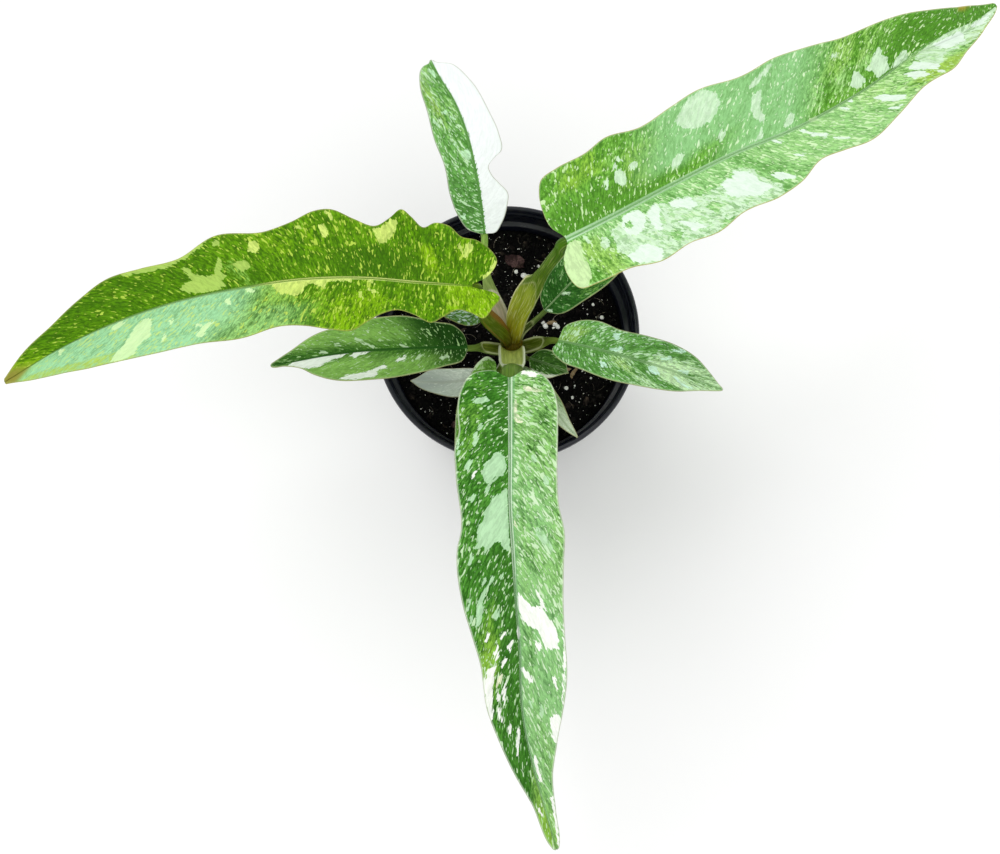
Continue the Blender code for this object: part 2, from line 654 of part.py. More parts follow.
def make_petiole(name, leaf, blade):
    """A tapering petiole from inside the stem to just short of its blade."""
    point, heading, side, up = (row[0] for row in blade.frame(np.array([0.0])))
    radius = neck_radius(leaf)
    joint = point - up * radius - heading * GAP
    neck = joint - heading * radius * NECK
    path = smooth_curve(leaf["petiole"] + [tuple(neck), tuple(joint)])
    reach = along(path)
    rings = max(5, int(reach[-1] / RING_SPACING))
    stations = np.linspace(0, reach[-1], rings + 1)
    headings = unit(np.gradient(path, reach, axis=0))
    headings[-1] = heading
    lean = np.array([joint[0] - STEM_X, joint[1] - STEM_Y, 0.0])
    across = unit(np.cross(lean, (0.0, 0.0, 1.0)))
    stops, sizes, grooves = zip(*leaf["section"])
    points = []
    for station in stations:
        share = station / reach[-1]
        centre = np.array([np.interp(station, reach, c) for c in path.T])
        ahead = unit(np.array([np.interp(station, reach, c) for c in headings.T]))
        flat = across if share < 1 else side
        flat = unit(flat - ahead * np.dot(flat, ahead))
        top = np.cross(flat, ahead)
        size = np.interp(share, stops, sizes)
        groove = np.interp(share, stops, grooves)
        for x, y in section(size, groove):
            points.append(tuple(centre + flat * x + top * y))
    count = SECTION_POINTS
    faces = []
    for i in range(rings):
        for j in range(count):
            k = (j + 1) % count
            a = i * count
            faces.append((a + j, a + k, a + count + k, a + count + j))
    faces.append(tuple(range(count))[::-1])
    faces.append(tuple(rings * count + j for j in range(count)))
    obj = solid(name, points, faces)
    outward(obj)
    return obj


def make_stem(blades):
    """The short stem, with every petiole grown out of it."""
    profile = [
        (0, STEM_FOOT_Z),
        (STEM_FOOT_RADIUS * 0.8, STEM_FOOT_Z),
        (STEM_FOOT_RADIUS, STEM_FOOT_Z + 3),
    ]
    profile += [(STEM_FOOT_RADIUS + swell, SOIL_TOP + height) for height, swell in SCARS]
    profile += [
        (STEM_TOP_RADIUS, SOIL_TOP + 15),
        (STEM_TOP_RADIUS, STEM_TOP_Z - 2),
        (STEM_TOP_RADIUS * 0.7, STEM_TOP_Z),
        (0, STEM_TOP_Z + 0.5),
    ]
    stem = turned("stem_and_petioles", profile, STEM_SIDES)
    stem.data.transform(Matrix.Translation((STEM_X * MM, STEM_Y * MM, 0)))
    petioles = [make_petiole("petiole_" + name, leaf, blades[name])
                for name, leaf in LEAVES.items()]
    boolean(stem, "UNION", gather("petioles", petioles))
    finish(stem, "stem_and_petioles", 50)
    return stem


def main():
    clear_scene()
    make_pot()
    make_soil()
    blades = {name: make_blade(name, leaf) for name, leaf in LEAVES.items()}
    make_stem(blades)


main()
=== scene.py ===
"""Potted ring of fire philodendron, laid out as a small Blender add-on that runs as a script.

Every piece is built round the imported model, in its frame: metres, +Z up, +X the viewer's
right, +Y away from the viewer. Tables give millimetres, and MM turns them into metres.
The leaves repeat the solids' own midribs and margins with finer relief. Their markings are
fields on their points, and the leaf material turns those into streaks, flecks and patches.
"""
import math
import random

import bmesh
import bpy
import numpy as np
from mathutils import Matrix, Vector


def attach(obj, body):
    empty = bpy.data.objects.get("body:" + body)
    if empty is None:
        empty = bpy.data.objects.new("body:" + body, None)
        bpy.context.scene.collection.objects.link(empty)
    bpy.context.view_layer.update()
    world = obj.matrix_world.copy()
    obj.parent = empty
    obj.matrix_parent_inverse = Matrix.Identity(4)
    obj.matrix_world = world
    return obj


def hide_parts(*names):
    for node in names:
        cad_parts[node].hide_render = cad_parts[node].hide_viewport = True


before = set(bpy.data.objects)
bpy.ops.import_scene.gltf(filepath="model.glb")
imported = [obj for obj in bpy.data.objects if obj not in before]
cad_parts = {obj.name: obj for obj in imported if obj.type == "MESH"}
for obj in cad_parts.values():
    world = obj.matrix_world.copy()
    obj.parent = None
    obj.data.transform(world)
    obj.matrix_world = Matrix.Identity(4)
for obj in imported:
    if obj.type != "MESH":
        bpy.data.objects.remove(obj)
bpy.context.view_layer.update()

bl_info = {
    "name": "Potted Philodendron",
    "version": (1, 0, 0),
    "blender": (4, 5, 0),
    "location": "3D View > Sidebar > Plant",
    "description": "Builds a variegated philodendron in its nursery pot, piece by piece",
    "category": "Add Mesh",
}

MM = 0.001
BODY = "root"

# The pot, as the solids have it
POT_HEIGHT = 95.0
POT_RIM_RADIUS = 57.0
POT_BASE_RADIUS = 41.0
COLLAR_HEIGHT = 13.0
COLLAR_RADIUS = 55.6
COLLAR_INNER_RADIUS = 54.0
BODY_TOP_RADIUS = 53.2
WALL = 1.7
FLOOR = 2.2
LEDGE_Z = POT_HEIGHT - COLLAR_HEIGHT + 1.0
# the collar's inside: how far out from its radius, and how far down from the rim
INSIDE = [(-0.2, 11.5), (0.1, 5.2), (-0.35, 4.4), (-0.25, 3.0), (0.45, 2.2), (0.75, 0.7),
          (1.35, 0.0)]
SLOTS = 6
SLOT_SIZE = (9.0, 5.0, 6.0)
SLOT_INSET = 1.0
GAP = 0.3
POT_SIDES = 180

# The soil's top, and the grains of perlite that the photograph shows one by one:
# x, y and radius
SOIL_TOP = 81.0
SOIL_SHOULDER = 1.5
SOIL_SIDES = 200
SOIL_RINGS = 70
PERLITE_SEEN = [
    (16.0, 7.4, 0.9), (16.9, 5.9, 1.3), (21.0, 6.9, 1.1), (22.2, 5.7, 1.1), (20.6, 5.1, 0.7),
    (4.0, 31.1, 1.0), (7.6, 29.2, 1.4), (9.3, 28.2, 1.7), (10.7, 27.0, 1.2), (41.8, 9.9, 0.9),
    (38.0, 15.8, 0.8), (25.7, -22.3, 0.9), (7.8, -7.9, 1.1), (-27.0, 3.0, 1.3),
    (28.5, -26.5, 0.7), (14.0, 33.5, 0.7),
]
# Materials of what lies on the soil: deep and pale colour in sRGB, how much of the pale one,
# roughness, and where they differ, the grain's scale and its depth in millimetres
EARTHS = {
    "soil_crumb": ((6, 5, 5), (48, 44, 40), 0.5, 0.85),
    "bark": ((18, 14, 12), (88, 76, 66), 0.6, 0.85, 700.0),
    "perlite": ((236, 236, 232), (170, 168, 160), 0.5, 0.7, 1400.0, 0.6),
    "pale_grit": ((204, 202, 196), (120, 112, 102), 0.6, 0.7),
    "root_fibre": ((112, 104, 92), (160, 150, 134), 0.7, 0.7),
    "pink_bark": ((42, 28, 28), (120, 92, 90), 0.7, 0.75, 900.0),
    "withered_leaf": ((134, 112, 84), (190, 172, 140), 0.7, 0.6, 400.0),
}
# Scattered pieces: name, setting with their number, smallest and largest radius, proportions,
# how rugged they are, how far they tip over, and material
LITTER = [
    ("soil_crumbs", "crumbs", 0.45, 1.35, (1.0, 0.8, 0.7), 0.9, 3.1, "soil_crumb"),
    ("bark_chips", "chips", 0.7, 1.7, (1.6, 0.9, 0.45), 0.9, 0.7, "bark"),
    ("perlite_grains", "perlite", 0.35, 0.8, (1.0, 0.9, 0.8), 0.5, 3.1, "perlite"),
    ("grit_specks", "grit", 0.15, 0.36, (1.0, 0.9, 0.7), 0.1, 3.1, "pale_grit"),
]
# Single chips and scraps, where the photograph shows them: name, length, width and
# thickness, x and y, turn and tilt in degrees, bend, and material
BITS = [
    ("bark_chip_back", (9.0, 5.6, 1.9), (3.5, 35.7), -18, 8, -0.8, "pink_bark"),
    ("bark_chip_side", (5.0, 3.0, 1.0), (-22.0, -38.0), 40, -6, -0.2, "pink_bark"),
    ("withered_scrap", (5.0, 1.8, 0.35), (28.8, -15.5), 60, 30, 1.0, "withered_leaf"),
    ("withered_sheath", (6.5, 2.2, 0.35), (24.5, -13.0), -28, -24, 1.3, "withered_leaf"),
    ("dry_scrap_back", (4.2, 1.6, 0.35), (19.5, 7.4), 12, 20, 0.8, "withered_leaf"),
]
UPWARDS = 0.6              # how far up the soil faces where pieces are scattered
FULL_TURN = 6.28

# The stem, with the heights of its old leaf scars
STEM_X = 2.0
STEM_Y = -6.5
STEM_FOOT_Z = 62.0
STEM_TOP_Z = 101.0
STEM_FOOT_RADIUS = 5.2
STEM_TOP_RADIUS = 4.6
STEM_SCARS = (85.5, 88.5, 93.5)
STEM_SIDES = 56
STEM_COLOUR = (118, 100, 18)

# The camera: place in millimetres, tilt from straight down in degrees, and lens
CAMERA_PLACE = (-3.12, -161.27, 671.88)
CAMERA_TILT = 11.65
CAMERA_LENS = 50.0
SEEN_SKY = 1.2             # strength of the sky as the camera sees it, whatever it lights
FAR = 40.0                 # how far the floor reaches, in metres

# Leaves: shared proportions, those of the solids first
TIP_ROUND = 1.5            # radius of a large leaf's blunt tip
RIB_SPREAD = 1.15
KEEL_SPREAD = 1.15         # how much wider the keel under a midrib is
CROWD = 1.15               # how the rows crowd towards the base, and sweep towards the tip
SWEEP = 1.2
NOTCH = 0.8
NECK = 0.7
NECK_REACH = 1.6           # how far a petiole runs on inside its blade
SHEATH_WALL = 1.3
COLLAR_RISE = 0.35         # how far the collar at a sheath's mouth stands up
BACK_STRETCH = 2.2         # how much further a lip fades on a petiole's back than inside
SOLID_BLADE = 0.9
ROW = 0.75                 # spacing of the fine rows and lanes
LANE = 0.75
RIM = 0.45                 # width of a blade's rounded rim
VEIN_PITCH = 6.2           # between the main side veins
FINE_VEIN_PITCH = 1.55
VEIN_WIDTH = 0.75
PILLOW_SLOPE = 2.2         # how far a pillow slopes down to its veins
FINE_VEIN_DEPTH = 0.03
RIB_GROOVE = 0.2           # a midrib's groove and its shoulders
RIB_SHOULDER = 0.1
SWELL_SPACING = 21.0       # the broad swells of a blade
SWELL_HEIGHT = 0.42
SWELL_SEED = 40
WAVE_LAG = 1.3             # how far the left margin's waves run ahead
WAVE_FADE = 3              # how fast the waves die away towards the tip
SMALL_HALF = 16            # a leaf with a narrower half is a small one
SMALL_LEAF_GRAIN = 1.35    # how much finer the pattern of a small leaf is
STALK_TURN = 6             # degrees between a petiole's points, and spacing of its rings
STALK_ROW = 0.5
SHEATH_OPENS = (0.06, 0.2)     # from where to where on a petiole its sheath opens
STALK_SHIFT = (97.0, 31.0)     # how far apart the petioles lie in the streaks' noise

# The leaves' pattern: noise by its length along and across the side veins, with its detail
# and roughness, and flecks by length, width, where their noise starts and is full, and strength
CLOUD = (12.0, 5.0, 3.0)
GRAIN = (2.4, 0.85, 4.0, 0.72)
FINGERS = (3.0, 0.9, 2.5, 0.6)
NET = (2.8, 1.7, 3.0, 0.65)
WEAVE = (4.0, 1.0, 3.0, 0.6)
BREAKS = (9.0, 90.0, 1.0)
CELLS = (0.6, 0.5, 2.0)
DRIFT = (2.4, 1.3, 0.0)
FLECKS = ((2.1, 0.85, 0.62, 0.67, 0.75), (3.4, 1.15, 0.65, 0.69, 0.9),
          (5.6, 1.9, 0.7, 0.72, 0.95))
# bloom is partly painted sheen: the sky's pale bluish reflection on the halves of a blade that face it,
# over the leaf's own bloom
TONE_FIELDS = {"tones": ("shade", "bloom", "gold"), "tones_more": ("light", "dense", "dry")}
RIDGE_COLOUR = (202, 206, 130)
LEAF_SHIFT = 11.3          # how far apart the leaves lie in the pattern's noise
MARK_REACH = 4.0           # how far in and out of a patch its field goes
MARK_SPREAD = 0.15         # how far a patch spreads past its outline
STREAK_HALF = 0.45         # half the width of a thin streak
TONE_LUMPS = 12.0          # a tone's loose edge: the size of its bays, how far it strays,
TONE_STRAY = 2.6           # and how softly it ends along the leaf and across it
TONE_SOFT = 12.0
TONE_EDGE = 3.0
TONE_SEED = 70

# how far a side vein runs forward for each step across, by share of the blade's length
VEIN_SLANT = [(-0.05, -0.3), (0, 0.2), (0.3, 0.9), (0.6, 1.8), (0.85, 3.0)]
# Colours of a leaf in sRGB, with how thickly it is flecked, how pale its margin is, how far
# its midrib's band lies aside, and how strong its grain is
# the bloom colour is the leaf's pale bloom together with a painted sheen
LEAF_COLOURS = {
    "dark": (84, 146, 42), "mid": (114, 176, 64), "light": (164, 214, 134),
    "shade": (76, 136, 34), "bloom": (146, 203, 134), "gold": (156, 196, 60),
    "dry": (150, 134, 84), "fleck": (206, 239, 176), "mint": (208, 237, 201),
    "cream": (204, 234, 172), "white": (236, 248, 236), "rib": (206, 236, 200),
    "band": (140, 194, 128), "under": (176, 200, 148),
    "flecks": 0.8, "margin": 0.35, "band_side": 0.0, "grain": 1.0,
}
FIELD_COLOURS = [name for name, look in LEAF_COLOURS.items() if isinstance(look, tuple)]
RIB_PLAIN = [(0, 0.6, 0.25, 0.5), (60, 0.4, 0.2, 0.3)]
STALK_PLAIN = {
    "end": 0.0, "wings": (0, 0), "lips": (0.2, 0.2), "ridges": 0.25, "point": 1.1,
    "lip": (190, 200, 140), "inside": [(0, 80, 104, 36)],
    "outside": [(0, 80, 104, 36), (1, 88, 120, 48)],
}
# Each leaf, seen from above with its base towards the reader, in millimetres. Outlines are
# given point after point:
#   midrib   x, y and z from the notch to the tip
#   left     the margin from the lobe to the tip, along and across the flat blade
#   right    the same on the other side
#   fold     how far the halves rise from the midrib, in degrees, at base and tip
#   wave     height and length of the margin's waves
#   slant    VEIN_SLANT for a leaf that has its own
#   slot     its material slot, where it isn't green_leaf
#   petiole  x, y and z from the stem to the blade's neck
#   section  share of the petiole's length, its radius there, and its groove, where
#            1 is a round section, 0 is flat on top and -1 is an open sheath
#   rib      the midrib along the blade: distance, half its painted width, and how strongly
#            its pale lines and its band show
#   sway     how far the midrib strays from the blade's middle line, as (along, across)
#   stalk    the petiole's open sheath: share of the length where it ends, how pointed its
#            end is, how pale its mouth and its ridges are, how far its wings and its pale
#            lips reach on the left and right, and colours by share of the length for its
#            inside and the petiole itself. What is missing follows STALK_PLAIN
#   paint    the leaf's own colours. Those that are missing follow LEAF_COLOURS
#   tones    broad zones: from and to along, from and to across, and how strong. An edge at
#            0 across is the midrib, and stays crisp. A dense below 0 thins the flecks
#   marks    outlines of the patches, along and across, and negative on the left of the
#            midrib. Two points make a thin streak
LEAVES = {}
LEAVES["leaf_01_upper_right"] = dict(
    midrib=[22, 14, 172, 39, 21, 178, 60, 31, 183, 84, 43, 185, 108, 54, 183, 133, 70, 178, 160.5, 91.5,
        169, 185, 107, 160, 199, 122, 152],
    left=[-3, 6, -3.5, 13.5, -2, 19.5, 1, 24, 8, 25.5, 21, 26, 30, 27.5, 43, 24.5, 57, 26, 68, 27.5, 81,
        26, 103, 27.5, 118, 25.5, 136, 21.5, 156, 18.5, 173, 15, 200, 8.5],
    right=[-3.5, 6.5, -4.5, 13.5, -2, 21, 7, 22.5, 18, 23, 28, 26, 40, 25, 50, 26.5, 60, 24, 77, 24, 87,
        21.5, 97, 16.5, 106, 17.5, 116, 19.5, 133, 16.5, 149, 13.5, 172, 12.5, 184, 7.5, 198, 4],
    fold=(14, 12), wave=(1.2, 46),
    slant=[(-0.05, -0.3), (0, 0.1), (0.14, 0.5), (0.47, 0.85), (0.65, 1.15), (0.85, 1.9)],
    petiole=[2.5, -5.5, 97, 3, -3.5, 108, 4.5, 0.5, 118, 7, 3.5, 128, 10, 6, 138, 13.5, 8.5, 148, 17, 11,
        157, 19.5, 12.5, 163.5],
    section=[(0, 3.6, 0.7), (0.2, 3.9, 0.4), (0.4, 4.4, 0.2), (0.58, 3.4, 0.4), (0.68, 2.5, 0.8),
        (1, 2.4, 0.9)],
    rib=[(0, 1.3, 0.8, 0.75), (60, 1, 0.6, 0.65), (100, 0.7, 0.4, 0.4), (150, 0.4, 0.3, 0.2),
        (180, 0.3, 0, 0)],
    sway=[(148, 0), (165, -1.2), (178, -2.7), (188, -2.9), (200, -1.4), (211, 0.3)],
    stalk=dict(
        end=0.6, wings=(1.7, 0.5), lips=(0.8, 0.15), mouth=0.25, ridges=0.75, point=3.2,
        lip=(212, 212, 156),
        inside=[(0, 140, 106, 8), (0.12, 162, 154, 32), (0.35, 162, 174, 44), (0.5, 150, 168, 50),
            (0.58, 108, 136, 22)],
        # the last outside colour is darker as painted shade, where the petiole runs in under the blade's
        # notch
        outside=[(0, 120, 92, 6), (0.15, 100, 112, 6), (0.55, 88, 118, 6), (1, 64, 108, 4)]),
    paint=dict(white=(226, 243, 227), dry=(186, 156, 54)),
    tones=dict(
        shade=[(-5, 50, -12, 0, 0.7), (150, 216, -14, 0, 0.85), (196, 216, 0, 9, 0.3)],
        # the bloom zones are partly painted sheen: the sky's bluish reflection on the left half, over the
        # leaf's own bloom
        bloom=[(40, 112, -28, -7, 0.95), (72, 112, -28, 0, 0.95), (14, 130, 0, 28, 0.45)],
        gold=[(4, 22, -28, -15, 0.5), (30, 46, -20, -6, 0.5), (108, 146, -28, -10, 0.4),
            (183, 206, -14, -7, 0.8), (76, 150, 0, 26, 0.3), (6, 16, 4, 25, 0.6), (140, 182, 9, 16, 0.8),
            (184, 204, 3, 14, 0.9)],
        light=[(-5, 80, 0, 28, 0.6), (76, 186, 0, 28, 0.8), (106, 150, -28, -4, 0.5),
            (20, 60, -28, -10, 0.3)],
        dry=[(183, 204, -16, -5.5, 0.95)],
        dense=[(16, 76, 2, 28, 0.75), (76, 160, 0, 28, 0.7), (42, 112, -28, 0, 0.2),
            (158, 208, -1, 10, 0.6), (104, 152, 2, 28, 0.3)]),
    mint_marks=[[56, -20, 60, -23.5, 64, -26, 70, -26.5, 73, -24, 73, -20, 71, -17, 68, -15, 63, -14.5,
        60, -15.5, 57, -17.5], [26.5, -12, 28, -14.5, 30, -14.5, 30.5, -12, 30, -9, 28.5, -8, 27, -10],
        [21.5, -10.5, 22.5, -13, 24, -13, 23.5, -11.5, 22, -10], [27.5, -15.5, 28.5, -17.5, 29.5, -16],
        [30, -17.5, 31, -19, 32, -17], [33.5, -13, 35, -14.5, 36.5, -14, 36, -12.5, 34, -11.5],
        [47, -6, 48.5, -8, 52, -9, 53, -8, 51, -6, 48, -5],
        [67, -7, 69, -9.5, 71.5, -10, 70, -8, 68, -6.5], [80, -1.5, 82, -3, 84, -5, 83.5, -2.5, 83, -1.7],
        [83, -10.5, 83, -14, 85, -17, 89, -18.5, 90, -18, 88, -15, 86, -12, 87, -9, 85.5, -7, 83.5, -9],
        [85, -21, 88, -22.5, 92, -24, 94, -24, 91, -22, 87, -20.5],
        [93, -23.5, 95, -25, 98, -26, 100, -26, 97, -24, 94.5, -22.5],
        [93, -2.5, 95, -4.5, 97.5, -6, 99, -5.5, 97, -3, 94, -2], [126.5, -4, 129, -6.5, 132, -7.8, 133.5,
        -6, 133.5, -2.5, 130, -2, 127.5, -3], [137, -6, 140, -6.5, 142, -8, 146, -9.5, 148, -10.5, 148.5,
        -9, 147, -7.5, 149, -5.5, 147, -4, 147, -1.5, 139.5, -1, 139.5, -4, 138, -5], [148, -1, 151, -2.5,
        155, -3.8, 158, -4, 158.5, -2, 157, -0.8, 150, -0.5], [125, -17, 129, -18, 128, -16.5],
        [6.5, 1.5, 7.5, 3, 8.5, 5.5, 7.5, 5, 6.5, 3],
        [11.5, 8.5, 13, 6, 14.5, 6.5, 14.5, 9.5, 13, 11.5, 12, 10], [16, 4.5, 19, 5.5, 21, 4, 23, 2, 27,
        1.8, 29.5, 3, 30, 5.5, 32, 5, 35, 3.5, 37, 5, 39.5, 6, 43, 6.2, 47, 7, 49, 9.5, 52, 10, 56, 9.8,
        60, 9.5, 62.5, 7.5, 65, 9.5, 66, 6, 69, 7, 73, 9.5, 74, 13, 77, 17, 80, 20, 79, 23, 70, 24, 60,
        24, 55, 23, 50, 26, 40, 25, 30, 25.5, 26, 25.5, 22, 23.5, 19, 20, 18.5, 17, 16, 14.5, 17, 11, 17,
        8], [160, 1, 165, -0.5, 172, -1.5, 180, -2.7, 186, -2.8, 193, -2, 200, -0.6, 207, 0, 213, 0.8,
        213, 1.6, 200, 3, 193, 4, 188, 5, 182, 4.5, 176, 4.8, 171, 5.5, 170, 8, 165, 8.5, 160, 5]],
    white_marks=[[23, 2, 29, 2.5, 30, 7, 27, 11, 24, 12, 22, 9.5, 21, 6],
        [31, 6, 35, 4, 36, 7, 34, 10, 33, 15, 31.5, 14, 31, 10], [40, 6, 47, 8, 49, 13, 45, 12, 41, 8.5],
        [19, 18, 24, 17, 28, 19, 30, 22, 28, 25.5, 22, 23, 19, 20.5], [40, 15, 45, 19, 47, 22, 43, 21],
        [60, 10, 63, 8, 65, 11, 66, 7, 69, 8, 72, 11, 73, 15, 76, 19, 70, 20, 62, 17, 60, 14],
        [78.5, 14.5, 82, 15, 86, 18.5, 84, 19, 80, 17.5], [85.5, 0.5, 87, 0.7, 89.5, 3, 88, 3.2],
        [90, 10, 93.5, 12, 92, 12.5], [97.5, 0.5, 99, 2, 100, 4, 102, 6, 105, 8.5, 104, 9, 100, 5.5, 98.5,
        2.5], [106, 11, 111, 14, 109, 14], [117, 0.5, 119.5, 3, 119, 4], [121.5, 0.2, 124, 0.5, 123, 1.5],
        [131, 5, 134, 5.5, 137, 7.5, 139, 10, 141.5, 12, 140, 12.5, 136, 11, 133, 8],
        [132, 12, 137, 14, 134, 14], [149.5, 4.5, 153, 5.5, 156, 7, 158, 10, 155, 10, 151, 8.5], [153, 3,
        158, 2.5, 160, 4, 164, 7, 166, 9, 163, 10, 160, 8, 156, 5.5], [161, 10, 166, 12, 164, 12.5],
        [172, -0.5, 186, -1.5, 188, 0, 186, 3, 176, 3], [194, -1, 208, 1, 200, 2]],
    cream_marks=[[103, -0.8, 107, -0.5, 106, 1, 103.5, 0.5], [-3.5, 6.5, 0, 2, 3, 1.8, 4.5, 4, 3.5, 9,
        4.5, 14, 4, 19, 1, 22, -2, 22, -5, 13.5]],
    green_marks=[[21.5, 6.5, 23, 4.5, 25, 5, 24.5, 7.5, 23, 8], [52, 24, 54, 22.5, 55, 24.5],
        [34, 19, 37, 17, 39, 20, 37, 22], [50, 15, 54, 14, 56, 17, 53, 19]])
LEAVES["leaf_02_left"] = dict(
    midrib=[-13.5, -3.5, 170, -33, -4, 176, -55, -3.5, 180, -77, -4.5, 181, -99, -7.5, 180, -122, -11.5,
        177, -145.5, -17.5, 171, -169.5, -26, 163, -193, -37, 154],
    left=[-4.5, 2, -8.5, 2.2, -10.5, 4, -7.5, 8.5, -3, 13.5, 1.5, 11.5, 6.5, 10.5, 12, 13.5, 17, 16.5,
        22.5, 14, 28.5, 12.5, 34, 14.5, 40, 18.5, 46, 22.5, 53.5, 22, 63, 20, 72.5, 19.5, 87.5, 22, 105,
        21, 133.5, 19, 153.5, 15, 175, 7.5],
    right=[-4.5, 3, -8, 6.5, -9.5, 10, -6.5, 15, -2, 17.5, 5, 18, 10.5, 22, 15.5, 23, 19.5, 21, 25, 24,
        29.5, 26, 33.5, 22.5, 38, 19.5, 45, 22, 52.5, 25, 58.5, 24.5, 66, 21.5, 75, 19, 93, 20.5, 107, 15,
        121, 15.5, 134, 16, 147, 13, 161, 9, 177, 5.5],
    fold=(10, 26), wave=(2.2, 25), slot="olive_leaf",
    slant=[(-0.05, -0.2), (0.1, 0.1), (0.26, 0.25), (0.36, 0.4), (0.48, 0.65), (0.6, 0.95), (0.75, 1.4),
        (0.87, 2)],
    petiole=[1, -6, 97, -1, -5.5, 109, -4.5, -5.5, 122, -8, -6, 136, -10.5, -6, 150, -12.5, -5, 160],
    section=[(0, 3.5, 0.7), (0.3, 3.5, 0.3), (0.55, 3.2, 0.3), (0.75, 2.6, 0.8), (1, 2.4, 0.9)],
    rib=[(0, 0.5, 0, 0.2), (12, 0.6, 0.5, 0.1), (22, 0.7, 1, 0.1), (75, 0.7, 1, 0.1),
        (84, 0.35, 0.1, 0.1), (190, 0.3, 0, 0)],
    stalk=dict(
        wings=(0.6, 1.2), lips=(0.35, 3.6), ridges=0.15, lip=(132, 92, 36),
        inside=[(0, 112, 92, 6), (0.25, 88, 108, 6), (1, 84, 112, 8)],
        outside=[(0, 112, 92, 6), (0.25, 84, 106, 4), (1, 84, 112, 8)]),
    paint=dict(
        dark=(70, 120, 2), mid=(96, 148, 8), light=(142, 192, 88), shade=(54, 102, 0),
        bloom=(160, 218, 164), gold=(142, 190, 16), fleck=(184, 214, 78), mint=(172, 206, 96),
        cream=(212, 234, 120), white=(208, 240, 178), rib=(220, 236, 140), band=(130, 174, 40),
        dry=(146, 142, 60), flecks=0.75, margin=0.15),
    tones=dict(
        shade=[(20, 52, 0, 12, 0.8), (96, 190, 1, 28, 0.3)],
        # the bloom zones are partly painted sheen: the sky's pale reflection on the left half towards the
        # tip
        bloom=[(88, 185, -24, 0, 0.95), (64, 88, -24, -10, 0.25)],
        gold=[(-12, 14, -26, 0, 0.7), (28, 60, -26, -5, 0.6), (56, 82, -26, -4, 0.3),
            (174, 206, -12, 12, 0.85), (12, 20, 4, 16, 0.7), (52, 62, 9, 20, 0.35), (64, 74, 9, 22, 0.35),
            (0, 8, 8, 18, 0.4)],
        light=[(64, 94, -24, 0, 0.75), (80, 94, 0, 11, 0.5), (170, 206, -12, 0, 0.9)],
        dense=[(-12, 80, -26, 28, 0.2), (84, 184, 0, 28, -0.1), (92, 176, -24, 0, 0.7)],
        dry=[(180, 206, -12, 12, 0.85)]),
    cream_marks=[[36, -6, 38, -5.5, 39.5, -4.5, 37.5, -4.8], [37.5, -2.5, 39.5, -1.5, 39.5, -0.8, 38, -1],
        [41.5, -9, 43, -8, 43, -6, 42, -6.3], [46, -1.5, 50, -1.2, 55, -1.5, 56, -4.5, 57.5, -3, 59, -2.5,
        60, -2, 62, -1.8, 64, -5, 66, -6.5, 69, -6.5, 70, -5, 72, -5.5, 74, -3, 75, -0.8, 46, -0.3],
        [0.5, 14, 2.5, 11, 4, 10.5, 4, 13, 3, 15, 1.5, 17], [4.5, 12, 6, 15], [30.5, 21, 32, 17, 34, 14,
        36, 13, 38, 16, 38.5, 18, 35, 19.5, 32.5, 22], [54, 16, 55.5, 15, 57, 19, 56.5, 20, 54.5, 18],
        [52, 21, 54.5, 24, 53, 24], [62, 17.5, 64.5, 19.5, 63, 20],
        [78, 13, 79.5, 11.5, 81.5, 13, 81, 15.5, 79, 16, 78, 14.5],
        [-4.5, 2.5, -8, 6, -9.8, 10.5, -8.6, 10, -7, 6.6, -4, 3.6]],
    white_marks=[[133.5, -2, 136, -3.5, 139, -3, 138.5, -1, 135, -0.5],
        [82, -2.5, 84, -3, 85, -0.8, 83, -0.8], [91, -6.5, 92.5, -6, 93, -3.5, 91.5, -4], [98, -13, 100,
        -15, 102, -18, 104, -18, 104, -16, 102, -14.5, 100, -12.5], [102.5, -13, 105, -13.5, 104, -12],
        [116, -14, 118, -16, 117, -12.5], [114, -9.5, 115, -8, 113.5, -7.5], [122, -4.5, 123, -12, 126,
        -13, 130, -17.5, 134, -18.5, 140, -18, 138, -15, 134, -13, 131, -9, 128, -5, 125, -3.5],
        [161, -2, 163, -2.5, 163, -0.8, 161, -0.8]],
    mint_marks=[[92.5, 2, 96, 1, 101, 1.2, 106, 2, 109, 4, 107, 5.5, 104, 6, 105, 9, 107, 12, 104.5, 11,
        103, 8, 100, 7, 98, 6, 95, 6.5, 94.5, 9, 93, 12, 92, 11, 93, 7, 91.5, 5, 93.5, 4.5],
        [82, 7, 84, 6, 87, 7, 88, 9, 85, 10, 82.5, 8.5], [91.5, 17, 93.5, 17, 93.5, 19, 92, 18.5], [96,
        19.5, 100, 16.5, 105, 14.5, 112, 13, 120, 13.8, 128, 15, 128, 16, 118, 15.5, 107, 15.5, 100,
        18.5], [129, -18.5, 138, -18.5, 147, -16.6, 157, -13.6, 167, -10.2, 176, -6.8, 183, -4.2, 176,
        -4.9, 166, -8, 157, -10.6, 148, -12.6, 140, -14, 133, -14.6]])
